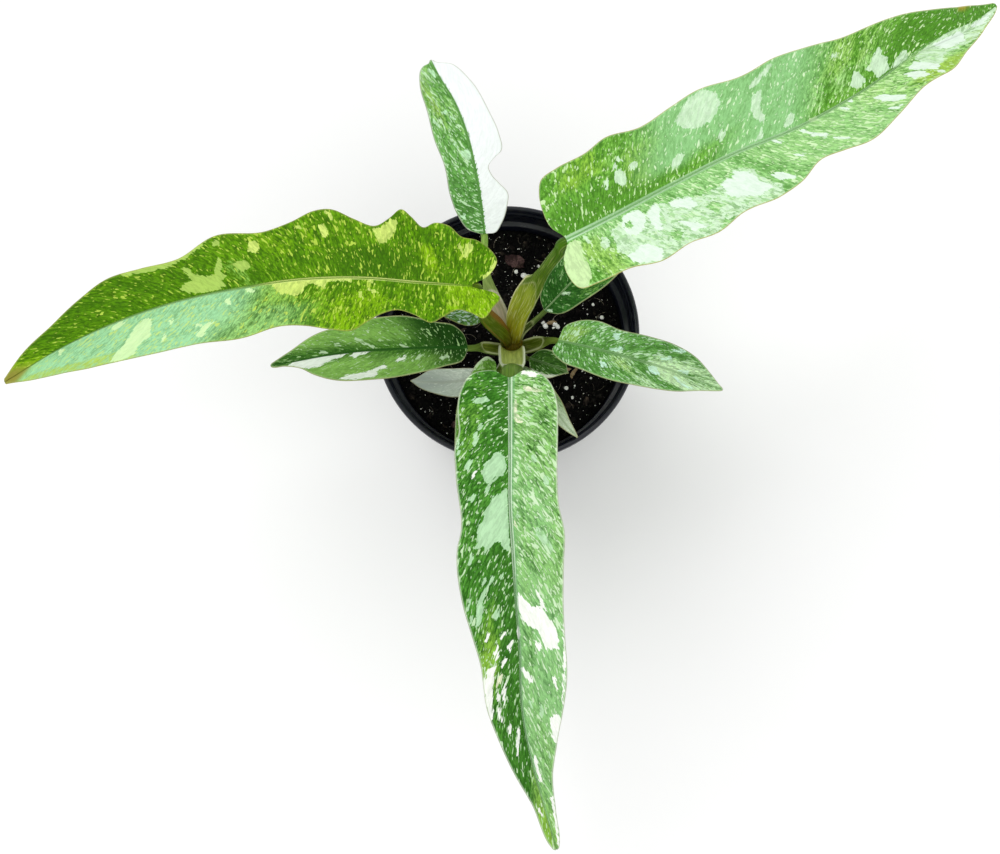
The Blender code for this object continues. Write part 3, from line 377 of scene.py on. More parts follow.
LEAVES["leaf_03_front"] = dict(
    midrib=[0.5, -36, 158, 0.5, -52, 163, 0.5, -69.5, 166, 0.5, -86.5, 167, 1.5, -103, 166, 2.5, -119,
        163, 4, -138.5, 157, 5, -160, 148, 9, -180, 138, 14.5, -199, 127, 18.5, -212.5, 118],
    left=[-2, 4.5, -1, 10.5, 4.5, 15.5, 14.5, 18.5, 25, 18.5, 39.5, 18, 52.5, 18.5, 63.5, 20, 72.5, 19,
        84.5, 18, 100.5, 17.5, 117, 17.5, 129, 15.5, 142, 11.5, 157.5, 6.5, 172.5, 4],
    right=[-2, 5, -1.5, 10.5, 1.5, 15.5, 7.5, 18.5, 14, 20, 20, 20, 25, 19.5, 31, 21, 41.5, 20.5, 60, 19,
        66.5, 21, 73, 21.5, 84, 20.5, 95.5, 18, 110, 15, 124.5, 13.5, 136, 11, 148.5, 8.5, 166, 4.5],
    fold=(16, 18), wave=(0.8, 40),
    slant=[(-0.05, -0.3), (0, 0.3), (0.2, 0.95), (0.4, 1.3), (0.6, 1.8), (0.8, 2.6)],
    petiole=[1.8, -6.5, 97, 1.8, -10.5, 110, 1.8, -17, 122, 1.8, -23.5, 134, 1.8, -29.5, 145],
    section=[(0, 5.3, -0.6), (0.3, 5.8, -0.8), (0.58, 5.5, -0.75), (0.7, 4.3, 0), (0.8, 3.6, 0.8),
        (1, 3.2, 0.9)],
    rib=[(0, 1.1, 0.7, 0.6), (36, 0.8, 0.85, 0.6), (74, 0.7, 0.85, 0.5), (82, 0.55, 0.3, 0.5),
        (190, 0.4, 0.3, 0.3)],
    stalk=dict(
        end=0.74, lips=(1.3, 1.3), ridges=0.5, lip=(236, 242, 214),
        # the inside colours are raised as painted light, lifting the shade that the leaves above cast
        # into the cup
        inside=[(0, 196, 208, 90), (0.4, 204, 218, 124), (0.7, 186, 202, 108)],
        outside=[(0, 120, 134, 50), (0.6, 92, 116, 26), (1, 88, 122, 40)]),
    paint=dict(
        dark=(50, 110, 26), mid=(80, 144, 50), light=(134, 186, 104), shade=(50, 106, 26),
        bloom=(146, 202, 140), gold=(138, 188, 66), fleck=(202, 233, 186), mint=(184, 224, 178),
        cream=(236, 240, 206), white=(250, 252, 245), rib=(226, 246, 220), band=(104, 164, 104),
        dry=(166, 168, 140), flecks=0.85, margin=0.5, band_side=-0.9),
    tones=dict(
        # the light zone left of the midrib and the shade zones right of it are partly painted light, the
        # fold's halves as light from the upper left falls on them, and partly the leaf's own tones; the
        # bloom zones are partly painted sheen on the fold
        shade=[(8, 40, 0, 10, 0.5), (66, 196, 0, 8, 0.5)],
        bloom=[(30, 190, -5, 0, 0.4), (40, 66, -16, -4, 0.4), (74, 136, -24, -4, 0.5)],
        gold=[(50, 62, -11, -4, 0.4), (95, 110, -17, -11, 0.4), (120, 132, -16, -11, 0.4),
            (2, 30, 10, 22, 0.4), (88, 114, 9, 22, 0.9), (72, 96, -12, 0, 0.3), (164, 200, -9, 9, 0.9)],
        light=[(-6, 196, -24, 0, 0.85), (22, 66, 11, 24, 0.3), (160, 200, 0, 9, 0.9)],
        dense=[(-4, 90, -24, 0, 0.6), (90, 196, -24, 0, 0.2), (100, 140, 5, 20, 0.1)]),
    white_marks=[[-2, -5, -1, -9, 1, -11.5, 1.5, -9, 0, -6.5, -0.5, -4.5], [83, -1, 86, -3, 89, -5.5,
        89.5, -9, 93, -11.5, 96, -14, 100, -14.8, 104, -14.5, 104, -10, 101, -9, 97, -7.5, 95.5, -4, 92,
        -1.5, 88, -0.6], [82, -8.5, 86, -9.5, 90, -11, 89, -9.5, 84, -8.2],
        [95.5, -0.2, 99, -0.8, 101, 0, 98, 0.5], [101, -6.5, 103, -8, 105, -7.5, 103, -6], [111.5, -0.5,
        114, -3.5, 117, -4.8, 116.5, -3.5, 114.5, -1.5, 112, -0.2],
        [114, -13, 119, -13.8, 118, -12.8, 115, -12.5], [95, -17.2, 110, -17, 125, -15.8], [130, -13, 132,
        -10.5, 137, -10.3, 142, -10, 143, -11.5, 138, -13, 132, -14.5],
        [147, -1.8, 151, -1.8, 158, -2, 159, -1.2, 150, -1], [166, -4.2, 188, -1.5],
        [40, 13, 42, 13.5, 42.5, 14.5, 40.5, 14.2], [101, 2.5, 103, 2.8, 105, 4, 103, 4],
        [102.5, 8.2, 105, 9.3], [104.5, 8, 107, 9.2], [98, 5.5, 99.5, 7], [97, 11.5, 99.5, 12.3], [110,
        10, 113, 10.3, 118, 10.8, 124, 11.3, 129, 11.5, 129, 12.5, 124, 13.5, 116, 14.3, 113, 13, 111,
        12.3], [107.5, 5.8, 110, 6.8], [116, 5.4, 120, 5.8, 126, 6.6, 120, 6.9, 117, 6.2],
        [125.5, 8.3, 130, 8.3, 130.5, 9, 126, 9.2], [120.5, 8.8, 122.5, 9.3],
        [135, 2.2, 140, 3, 145, 4.8, 140, 4.2, 137, 3.2], [133, 5.5, 135.5, 6.3], [170, 2.2, 172.5, 1.8]],
    cream_marks=[[5, -6, 6.5, -9, 8.5, -13, 9, -11.5, 8, -9, 7, -6.5, 5.5, -5.2], [10.5, -2.5, 13, -2.8,
        16, -2.2, 19, -4.5, 20.5, -5.5, 20, -3, 18, -1.5, 12, -1.5], [57, -1, 59.5, -1.8, 59, -1],
        [113.5, 7, 115, 7.2, 117.5, 9.4, 115, 8.8]],
    mint_marks=[[16, -7, 18, -9.5, 18, -7, 17, -6], [33, -9, 35, -10.5, 36, -9.5, 34.5, -8.5],
        [41, -13.5, 43, -15, 45, -14, 42.5, -12.8], [36, -6, 39, -8, 38, -6.5],
        [54.5, -2.5, 56.5, -3.8, 56, -2.2], [60.5, -10, 64, -13, 68, -15, 70, -14.5, 67, -12, 63.5, -9.5,
        61, -9], [55, -11.5, 58, -12.5, 57, -11.2], [126, -7.5, 129, -8, 131, -7, 127.5, -6.8],
        [124, -3.5, 128, -4.5, 127, -3.5], [146, -7.5, 149, -7.3, 148, -6.8], [32, 3.5, 35, 1.5, 39, 1.5,
        40.5, 3, 41.5, 6, 44, 8.5, 43, 9.5, 40, 10.8, 37.5, 9.5, 34, 7, 32.5, 5.5],
        [42, 5.5, 45, 7.5, 48, 9.5, 47, 9.7, 43.5, 7.5], [45.5, 1, 52, 1, 60, 1, 68, 1.2, 67.5, 3, 64.5,
        4.5, 65, 7, 67, 9, 69, 10.5, 65.5, 10.5, 67, 14, 63.5, 12.5, 61, 13, 58, 12, 56.5, 10, 54, 10,
        51.5, 8, 49, 6, 47, 3], [10.5, 9, 11.5, 8, 12.5, 10, 13.5, 13, 13, 14.3, 11, 12],
        [21.5, 10.8, 23, 10.3, 24, 11, 23.5, 12, 22, 11.8],
        [25, 12.8, 28, 12.2, 30, 13.5, 29, 14.2, 26, 13.6],
        [35, 13.5, 37, 15, 39.5, 16, 38.5, 17, 36, 15.8], [48, 12, 50, 14, 50.5, 16, 49, 15.3],
        [13.8, 7, 15.5, 8.5, 14.5, 8.8], [29, 18, 32, 17.5, 32, 18.5], [28, 19.7, 34, 19.7],
        [76, 3.2, 78, 5.2, 77, 5.3], [88.5, 7, 91, 7, 92.5, 8.2, 91, 8.8, 89, 7.6], [80.5, 10.5, 83, 11.5,
        86, 13, 89, 13.2, 93, 14, 94, 15.5, 90, 15.3, 85, 14.3, 83, 13, 81, 11.5], [77, 8, 79.5, 9.6],
        [77, 11, 79.5, 12.5], [84.5, 17.5, 87.5, 18.5], [69, 15.5, 71.5, 16.5], [90.5, 16.5, 92.5, 17.8]])
LEAVES["leaf_04_lower_left"] = dict(
    midrib=[-16.5, -13.5, 118, -31.5, -15.5, 125, -45.5, -17, 128, -62, -18, 128, -76.5, -19, 124, -87,
        -20, 120, -98, -20.5, 115],
    left=[3, 5.5, 12, 8.5, 25, 11.5, 37.5, 13, 53.5, 12.5, 65, 8, 72, 3.5, 79, 1.5],
    right=[1, 5, 5.5, 9, 13.5, 10.5, 27.5, 13.5, 39, 13, 50.5, 11, 62, 9.5, 76, 4.5],
    fold=(12, 14), wave=(0.4, 30),
    petiole=[0.5, -7.5, 93, -3.5, -9, 99, -9, -10.5, 107],
    section=[(0, 2.6, -0.5), (0.4, 2.9, -0.75), (0.62, 2.3, -0.2), (0.76, 1.5, 0.8), (1, 1.3, 0.9)],
    rib=[(0, 0.6, 0, 0.9), (80, 0.4, 0, 0.5)],
    stalk=dict(
        end=0.64, wings=(0.3, 0.3), lips=(0.5, 0.5), ridges=0.35, lip=(204, 212, 158),
        inside=[(0, 112, 130, 32), (1, 132, 150, 46)],
        outside=[(0, 116, 130, 54), (1, 96, 124, 44)]),
    paint=dict(
        dark=(52, 104, 28), mid=(88, 140, 52), light=(150, 202, 104), shade=(10, 54, 2),
        bloom=(144, 194, 94), gold=(118, 158, 62), fleck=(168, 208, 140), mint=(194, 222, 180),
        white=(240, 248, 238), rib=(190, 214, 160), band=(34, 90, 22), flecks=0.6, margin=0.6, grain=0.8),
    tones=dict(
        shade=[(-6, 20, 0, 16, 1), (-6, 18, -7, 0, 0.95), (48, 74, -2, 5, 0.3), (74, 94, -8, 8, 0.4)],
        light=[(20, 76, -16, -3, 0.4)],
        bloom=[(26, 70, 4, 16, 0.85), (14, 90, -16, -3, 0.8)]),
    white_marks=[[50, -0.8, 55, -1.8, 58, -2.5, 62, -4.5, 66, -4.5, 70, -4, 73, -3, 77, -1.5, 75, -0.4,
        70, -0.4, 60, -0.5], [41, -0.5, 45, -1.5, 47, -2.5, 49, -2, 48, -0.6], [35, -8, 38, -9, 39, -9.5,
        39, -11.5, 45, -12.3, 53, -12, 53, -11, 46, -10.5, 42, -9.5, 38, -7.8, 36, -7.4],
        [27, -3.5, 29.5, -4, 31, -5.5, 28.5, -4.8]],
    mint_marks=[[20.5, -3, 22.5, -5, 23.5, -5, 22, -3.2], [10, -4, 13, -5],
        [25, 0.5, 28, 0.7, 29, 2, 27.5, 1.2], [40, 1.3, 43, 2.8], [43.5, 3.2, 46.5, 4.8],
        [59.5, 1, 62, 1.5], [53.5, 3.5, 55.5, 3.9]])
LEAVES["leaf_05_right"] = dict(
    midrib=[21, -10, 116, 34, -14.5, 121, 48, -19, 124, 64, -24, 124, 77.5, -28, 120, 88.5, -31, 116],
    left=[1, 6, 6, 9.5, 14.5, 11.5, 25, 10, 36, 10.5, 47.5, 10.5, 58, 8.5, 66, 4.5],
    right=[-1, 4.5, 5, 9, 14, 10.5, 26.5, 12, 39, 11, 51.5, 8.5, 63, 4],
    fold=(12, 12), wave=(0.4, 30),
    petiole=[4, -7, 93, 7.5, -7.5, 98, 13.5, -8.5, 107],
    section=[(0, 3, -0.5), (0.4, 3.3, -0.75), (0.64, 2.4, -0.2), (0.78, 1.5, 0.8), (1, 1.3, 0.9)],
    stalk=dict(
        end=0.66, wings=(0.4, 0.4), lips=(0.5, 0.5), ridges=0.35, lip=(202, 210, 160),
        inside=[(0, 92, 114, 18), (1, 120, 140, 34)],
        outside=[(0, 104, 112, 26), (1, 104, 126, 44)]),
    paint=dict(
        dark=(84, 142, 60), mid=(112, 170, 88), light=(198, 234, 178), gold=(166, 206, 104),
        fleck=(202, 236, 196), mint=(210, 248, 226), rib=(196, 228, 182), band=(110, 166, 88), flecks=0.7,
        margin=0.5),
    tones=dict(
        gold=[(0, 9, -10, 0, 0.7), (27, 35, 1, 7, 0.6)],
        # the light zones are partly painted light, lifting the outer half where it curves down away from
        # the key light
        light=[(26, 40, -4, 16, 0.5), (47, 66, -4, 8, 1), (44, 84, -16, 16, 0.65)],
        dense=[(-4, 80, -16, 16, 0.3)], dry=[(84, 92, -6, 6, 0.9)]),
    mint_marks=[[40, 1, 43, 0.5, 44.5, 3.5, 42, 4, 40.5, 3.5], [20, 5.2, 23, 5.5, 24, 7, 21.5, 6.8],
        [22.5, -8, 25, -8.3, 25, -6, 23, -6], [22.5, -1, 25, -2.5, 27.5, -3, 26, -1],
        [52, -1, 56, -2.2, 56, -0.8], [51, 2, 55, 4, 60, 4, 56, 4.8, 52, 3.2], [44, -3, 47, -5],
        [47, -8, 52, -9.3]])
LEAVES["leaf_06_back"] = dict(
    midrib=[-9.5, 28.5, 138, -11, 41, 143, -13.5, 54.5, 147, -17, 68.5, 149, -22, 81.5, 149, -27.5, 91.5,
        148, -31.5, 100.5, 146],
    left=[2.5, 6.5, 8.5, 10, 17, 12, 29.5, 12, 41, 13.5, 53, 12.5, 68, 9, 76, 4],
    right=[0, 4.5, 3.5, 7.5, 10, 10.5, 14.5, 11.5, 19, 8.5, 23, 6, 26, 5.5, 28.5, 8, 31, 12, 37.5, 12.5,
        46, 11.5, 60, 10, 71, 7],
    fold=(10, 10), wave=(0.4, 30),
    petiole=[2, -4, 95, -1, 0, 102, -4.5, 6, 111, -7.5, 11.5, 119, -9, 17.5, 127, -9.5, 23.5, 133],
    section=[(0, 3, -0.3), (0.3, 3.8, -0.7), (0.5, 3, -0.4), (0.65, 1.7, 0.6), (1, 1.4, 0.9)],
    rib=[(0, 0.4, 0, 0), (80, 0.4, 0, 0)],
    stalk=dict(
        end=0.5, lips=(0.5, 0.5), lip=(240, 234, 214),
        inside=[(0, 214, 200, 168), (0.5, 228, 216, 192)],
        outside=[(0, 176, 172, 120), (0.5, 162, 184, 106), (1, 150, 190, 86)]),
    paint=dict(
        dark=(82, 142, 58), mid=(116, 176, 90), light=(156, 204, 114), gold=(172, 206, 92),
        fleck=(198, 234, 186), mint=(200, 240, 198), shade=(74, 130, 58), white=(244, 249, 248),
        rib=(222, 238, 214), band=(140, 190, 112), dry=(150, 140, 128), flecks=0.7, margin=0.4),
    tones=dict(
        light=[(38, 78, -16, 0, 0.4)], shade=[(-6, 20, -16, 0, 0.5)], gold=[(44, 62, -15, -7, 0.6)],
        dense=[(-4, 84, -16, 0, 0.3), (-8, 84, 0, 16, -1)]),
    white_marks=[[-4, 0.9, 30, 0.8, 60, 0.6, 82, 0.3, 82, 9, 70, 16, -4, 16]],
    mint_marks=[[30, -0.8, 32, -3.5, 33.5, -4.5, 34.5, -1.5, 33, -0.5], [6.5, -7.5, 8.5, -9, 9, -7],
        [51, -5.5, 52.5, -7, 53, -5], [48, -3, 49.5, -4], [69, -1.5, 70, -2.5, 74, -2.7, 72, -1.2],
        [46, -10, 50, -11], [35.5, -5, 38, -6]])
LEAVES["leaf_07_back_right"] = dict(
    midrib=[16, 7.5, 100, 27, 17.5, 108, 39, 30, 113, 50, 42, 114, 58, 53.5, 111],
    left=[2.5, 5, 11, 9, 23, 10, 37, 9, 54, 6],
    right=[3.5, 5.5, 16, 10, 30, 13, 43, 12, 54.5, 6.5],
    fold=(12, 12), wave=(0.3, 25),
    petiole=[3.5, -5, 90, 6.5, 0, 93, 10.5, 3, 96],
    section=[(0, 1.9, 0.2), (0.4, 1.7, -0.4), (0.65, 1.2, 0.8), (1, 1.1, 0.9)],
    rib=[(0, 0.35, 1, 0.3), (60, 0.3, 0.8, 0.2)],
    stalk=dict(
        end=0.6, lips=(0.35, 0.35), ridges=0.3, lip=(176, 184, 132),
        inside=[(0, 54, 70, 18), (1, 70, 90, 26)],
        outside=[(0, 88, 104, 44), (1, 92, 116, 52)]),
    paint=dict(
        dark=(38, 90, 24), mid=(60, 116, 44), light=(128, 172, 78), shade=(30, 76, 18),
        fleck=(150, 192, 126), rib=(196, 224, 168), band=(60, 112, 42), flecks=0.55, margin=0.5),
    tones=dict(shade=[(-4, 16, -12, 4, 0.4)], light=[(12, 62, 4, 16, 0.6)]),
    mint_marks=[[1, 1, 2.5, 2.5], [11, 0.5, 13, 2.5], [24, 6, 26, 8], [32, -4, 34, -5]])
LEAVES["leaf_08_pale_on_soil"] = dict(
    midrib=[-6.5, -17.5, 92, -16, -20.5, 91, -27, -21.5, 89, -35.5, -21, 87.5, -42, -20, 86.5],
    left=[9, 6, 16, 7, 25, 5, 32.5, 2.5],
    right=[6.5, 4, 18.5, 6, 28.5, 5.5],
    fold=(4, 4), wave=(0.3, 20), slot="white_leaf",
    petiole=[0.5, -8, 87, -1.5, -11.5, 88.5],
    section=[(0, 1.5, 0.5), (1, 0.9, 0.9)],
    stalk=dict(
        lips=(0, 0), ridges=0.2, lip=(220, 224, 200), inside=[(0, 186, 194, 168)],
        outside=[(0, 186, 194, 168)]),
    # its shade colour and shade zone are painted shadow of the leaves above it, with some soil on the
    # leaf
    paint=dict(
        dark=(186, 200, 184), mid=(210, 220, 206), light=(226, 232, 222), fleck=(222, 230, 218),
        rib=(176, 190, 168), band=(196, 204, 188), shade=(140, 150, 146), under=(190, 198, 180),
        flecks=0.2, grain=0.25),
    tones=dict(shade=[(20, 60, -20, 20, 0.8)]))
LEAVES["leaf_09_small_right"] = dict(
    midrib=[9.5, -11.5, 92, 17.5, -15, 95, 26.5, -18, 92],
    left=[3.5, 5, 11, 6, 17, 3],
    right=[4, 5.5, 10, 6.5, 15, 3],
    fold=(12, 12), wave=(0, 20),
    petiole=[3.5, -7.5, 87, 5.5, -8.5, 89],
    section=[(0, 1.4, 0.5), (1, 0.9, 0.9)],
    paint=dict(
        dark=(50, 92, 28), mid=(76, 122, 44), light=(104, 150, 74), fleck=(166, 202, 144),
        rib=(196, 214, 170), band=(80, 122, 54), white=(226, 232, 214), margin=0.6),
    white_marks=[[2, 6.5, 10, 7, 16, 4, 15, 3, 9, 5.2, 3, 5]])
LEAVES["leaf_10_folded_front"] = dict(
    midrib=[7, -14.5, 89, 12, -23.5, 93, 19, -33, 97, 24.5, -42, 99, 29.5, -47.5, 99],
    left=[9, 5, 22, 4.5, 32, 3],
    right=[10, 4, 22.5, 4.5, 34, 2.5],
    fold=(24, 20), wave=(0, 20),
    petiole=[2.5, -9, 85, 4.5, -11.5, 86.5],
    section=[(0, 1.4, 0.5), (1, 0.9, 0.9)],
    paint=dict(
        dark=(112, 144, 88), mid=(140, 168, 116), light=(176, 196, 158), fleck=(184, 204, 164),
        rib=(190, 208, 170), band=(150, 178, 126), bloom=(206, 220, 196), flecks=0.4),
    tones=dict(bloom=[(27, 60, -20, 20, 0.9)]))
LEAVES["leaf_11_under_front"] = dict(
    midrib=[-4, -21, 102, -7.5, -38, 108, -9.5, -57.5, 112, -11, -76, 110, -11.5, -89.5, 105, -11, -99.5,
        100],
    left=[5, 5, 17, 10, 36, 12.5, 52.5, 12, 67, 9],
    right=[-6, 2.5, -7.5, 6, -4, 9, 5, 11.5, 17, 13.5, 30, 13, 44, 11.5, 57.5, 9, 71.5, 5],
    fold=(8, 8), wave=(0.3, 30),
    petiole=[1, -8.5, 88, 0, -13, 93],
    section=[(0, 1.9, 0.4), (1, 1.2, 0.9)],
    paint=dict(
        dark=(98, 150, 52), mid=(124, 178, 76), light=(150, 200, 104), fleck=(190, 224, 160),
        mint=(216, 238, 196), margin=0.5),
    mint_marks=[[-7, 3, -8, 6, -5, 9.5, -1, 11, 4, 12, 3, 11, -1, 9.8, -4, 8, -6.5, 5.5, -6, 3.2]])
LEAVES["leaf_12_under_left"] = dict(
    midrib=[-10, 4, 102, -18, 6.5, 105, -26.5, 10, 106, -39.5, 14.5, 104],
    left=[1, 3, 6, 6.5, 12, 7, 20, 6],
    right=[7, 6, 16.5, 7, 25, 4.5],
    fold=(8, 8), wave=(0, 20),
    petiole=[0.5, -5, 92, -3, -2, 95],
    section=[(0, 1.7, 0.4), (1, 1, 0.9)],
    paint=dict(
        dark=(68, 108, 46), mid=(92, 136, 66), light=(118, 160, 88), fleck=(186, 208, 200),
        rib=(130, 170, 104), band=(92, 134, 66), flecks=0.9),
    tones=dict(dense=[(-4, 44, -10, 10, 0.6)]))


def linear(colour):
    """An sRGB colour, 0 to 255, as the linear RGBA that nodes take."""
    parts = [c / 255 for c in colour]
    parts = [c / 12.92 if c <= 0.04045 else ((c + 0.055) / 1.055) ** 2.4 for c in parts]
    return (*parts, 1.0)


class Value:
    """One output of a node. Plain arithmetic with it adds the math nodes that it needs."""

    def __init__(self, graph, socket):
        self.graph = graph
        self.socket = socket

    def __add__(self, other):
        return self.graph.math("ADD", self, other)

    def __sub__(self, other):
        return self.graph.math("SUBTRACT", self, other)

    def __rsub__(self, other):
        return self.graph.math("SUBTRACT", other, self)

    def __mul__(self, other):
        return self.graph.math("MULTIPLY", self, other)


class Graph:
    """Short ways to add and link one tree's nodes. Sockets that share a name go by number."""

    def __init__(self, tree):
        self.tree = tree

    def call(self, kind, inputs=None, output=0, **settings):
        """Add a node, set or link its inputs, and give back one of its outputs."""
        node = self.tree.nodes.new(kind)
        for name, value in settings.items():
            setattr(node, name, value)
        for socket, value in (inputs or {}).items():
            self.feed(node, socket, value)
        return Value(self, node.outputs[output])

    def feed(self, node, socket, value):
        """Link a value to a node's input, or set the input to a constant."""
        target = node.inputs[socket]
        if isinstance(value, Value):
            self.tree.links.new(value.socket, target)
        else:
            target.default_value = value

    def math(self, operation, *values):
        return self.call("ShaderNodeMath", dict(enumerate(values)), operation=operation)

    def most(self, first, *others):
        """The largest of some values."""
        for other in others:
            first = self.math("MAXIMUM", first, other)
        return first

    def vector(self, operation, *values):
        return self.call("ShaderNodeVectorMath", dict(enumerate(values)), operation=operation)

    def scale(self, vector, factor):
        inputs = {0: vector, "Scale": factor}
        return self.call("ShaderNodeVectorMath", inputs, operation="SCALE")

    def step(self, value, low, high, first=0.0, last=1.0):
        """A smooth rise from first to last as value goes from low to high."""
        inputs = {0: value, 1: low, 2: high, 3: first, 4: last}
        return self.call("ShaderNodeMapRange", inputs, interpolation_type="SMOOTHSTEP")

    def blend(self, share, first, second, mode="MIX"):
        inputs = {0: share, 6: first, 7: second}
        return self.call("ShaderNodeMix", inputs, 2, data_type="RGBA", blend_type=mode)

    def noise(self, vector, scale, detail=2.0, roughness=0.5, output=0):
        inputs = {"Vector": vector, "Scale": scale, "Detail": detail, "Roughness": roughness}
        return self.call("ShaderNodeTexNoise", inputs, output)

    def field(self, name, output="Fac"):
        """One of the mesh's own attributes."""
        return self.call("ShaderNodeAttribute", output=output, attribute_name=name)

    def split(self, vector):
        """The three parts of a vector."""
        node = self.tree.nodes.new("ShaderNodeSeparateXYZ")
        self.feed(node, 0, vector)
        return [Value(self, part) for part in node.outputs]

    def draw(self, seed, low=0.0, high=1.0):
        """A random number for each piece, or a random vector where low is a vector."""
        if isinstance(low, tuple):
            inputs = {0: low, 1: high, "Seed": seed}
            return self.call("FunctionNodeRandomValue", inputs, data_type="FLOAT_VECTOR")
        inputs = {2: low, 3: high, "Seed": seed}
        return self.call("FunctionNodeRandomValue", inputs, 1, data_type="FLOAT")


def new_group(name, kind, inputs, output_kinds):
    """An empty node group with named sockets, as its graph, its inputs and its exit.

    Each input is given by its default value, or by the name of its kind where it has none.
    """
    tree = bpy.data.node_groups.new(name, kind)
    graph = Graph(tree)
    for label, default in inputs.items():
        if isinstance(default, str):
            tree.interface.new_socket(label, in_out="INPUT", socket_type="NodeSocket" + default)
            continue
        socket = {int: "Int", float: "Float"}.get(type(default))
        socket = socket or {3: "Vector", 4: "Color"}[len(default)]
        made = tree.interface.new_socket(label, in_out="INPUT", socket_type="NodeSocket" + socket)
        made.default_value = default
    for label, socket in output_kinds.items():
        tree.interface.new_socket(label, in_out="OUTPUT", socket_type="NodeSocket" + socket)
    entry = tree.nodes.new("NodeGroupInput")
    values = {label: Value(graph, entry.outputs[label]) for label in inputs}
    return graph, values, tree.nodes.new("NodeGroupOutput")


def place_group(graph, name, values):
    """Put a shared group into a material, and give back its outputs by name."""
    node = graph.tree.nodes.new("ShaderNodeGroup")
    node.node_tree = bpy.data.node_groups[name]
    for socket, value in values.items():
        graph.feed(node, socket, value)
    return {output.name: Value(graph, output) for output in node.outputs}


def new_material(name, roughness=0.5, specular=0.4):
    """A material, its graph and its Principled shader."""
    mat = bpy.data.materials.new(name)
    mat.use_nodes = True
    shader = mat.node_tree.nodes["Principled BSDF"]
    shader.inputs["Roughness"].default_value = roughness
    shader.inputs["Specular IOR Level"].default_value = specular
    return mat, Graph(mat.node_tree), shader


def cover(graph, shader, colour, height, depth, roughness=None):
    """Give a shader its colour, its relief in millimetres and, where it varies, its shine."""
    graph.feed(shader, "Base Color", colour)
    if roughness is not None:
        graph.feed(shader, "Roughness", roughness)
    inputs = {"Height": height, "Distance": depth * MM, "Strength": 1.0}
    graph.feed(shader, "Normal", graph.call("ShaderNodeBump", inputs))


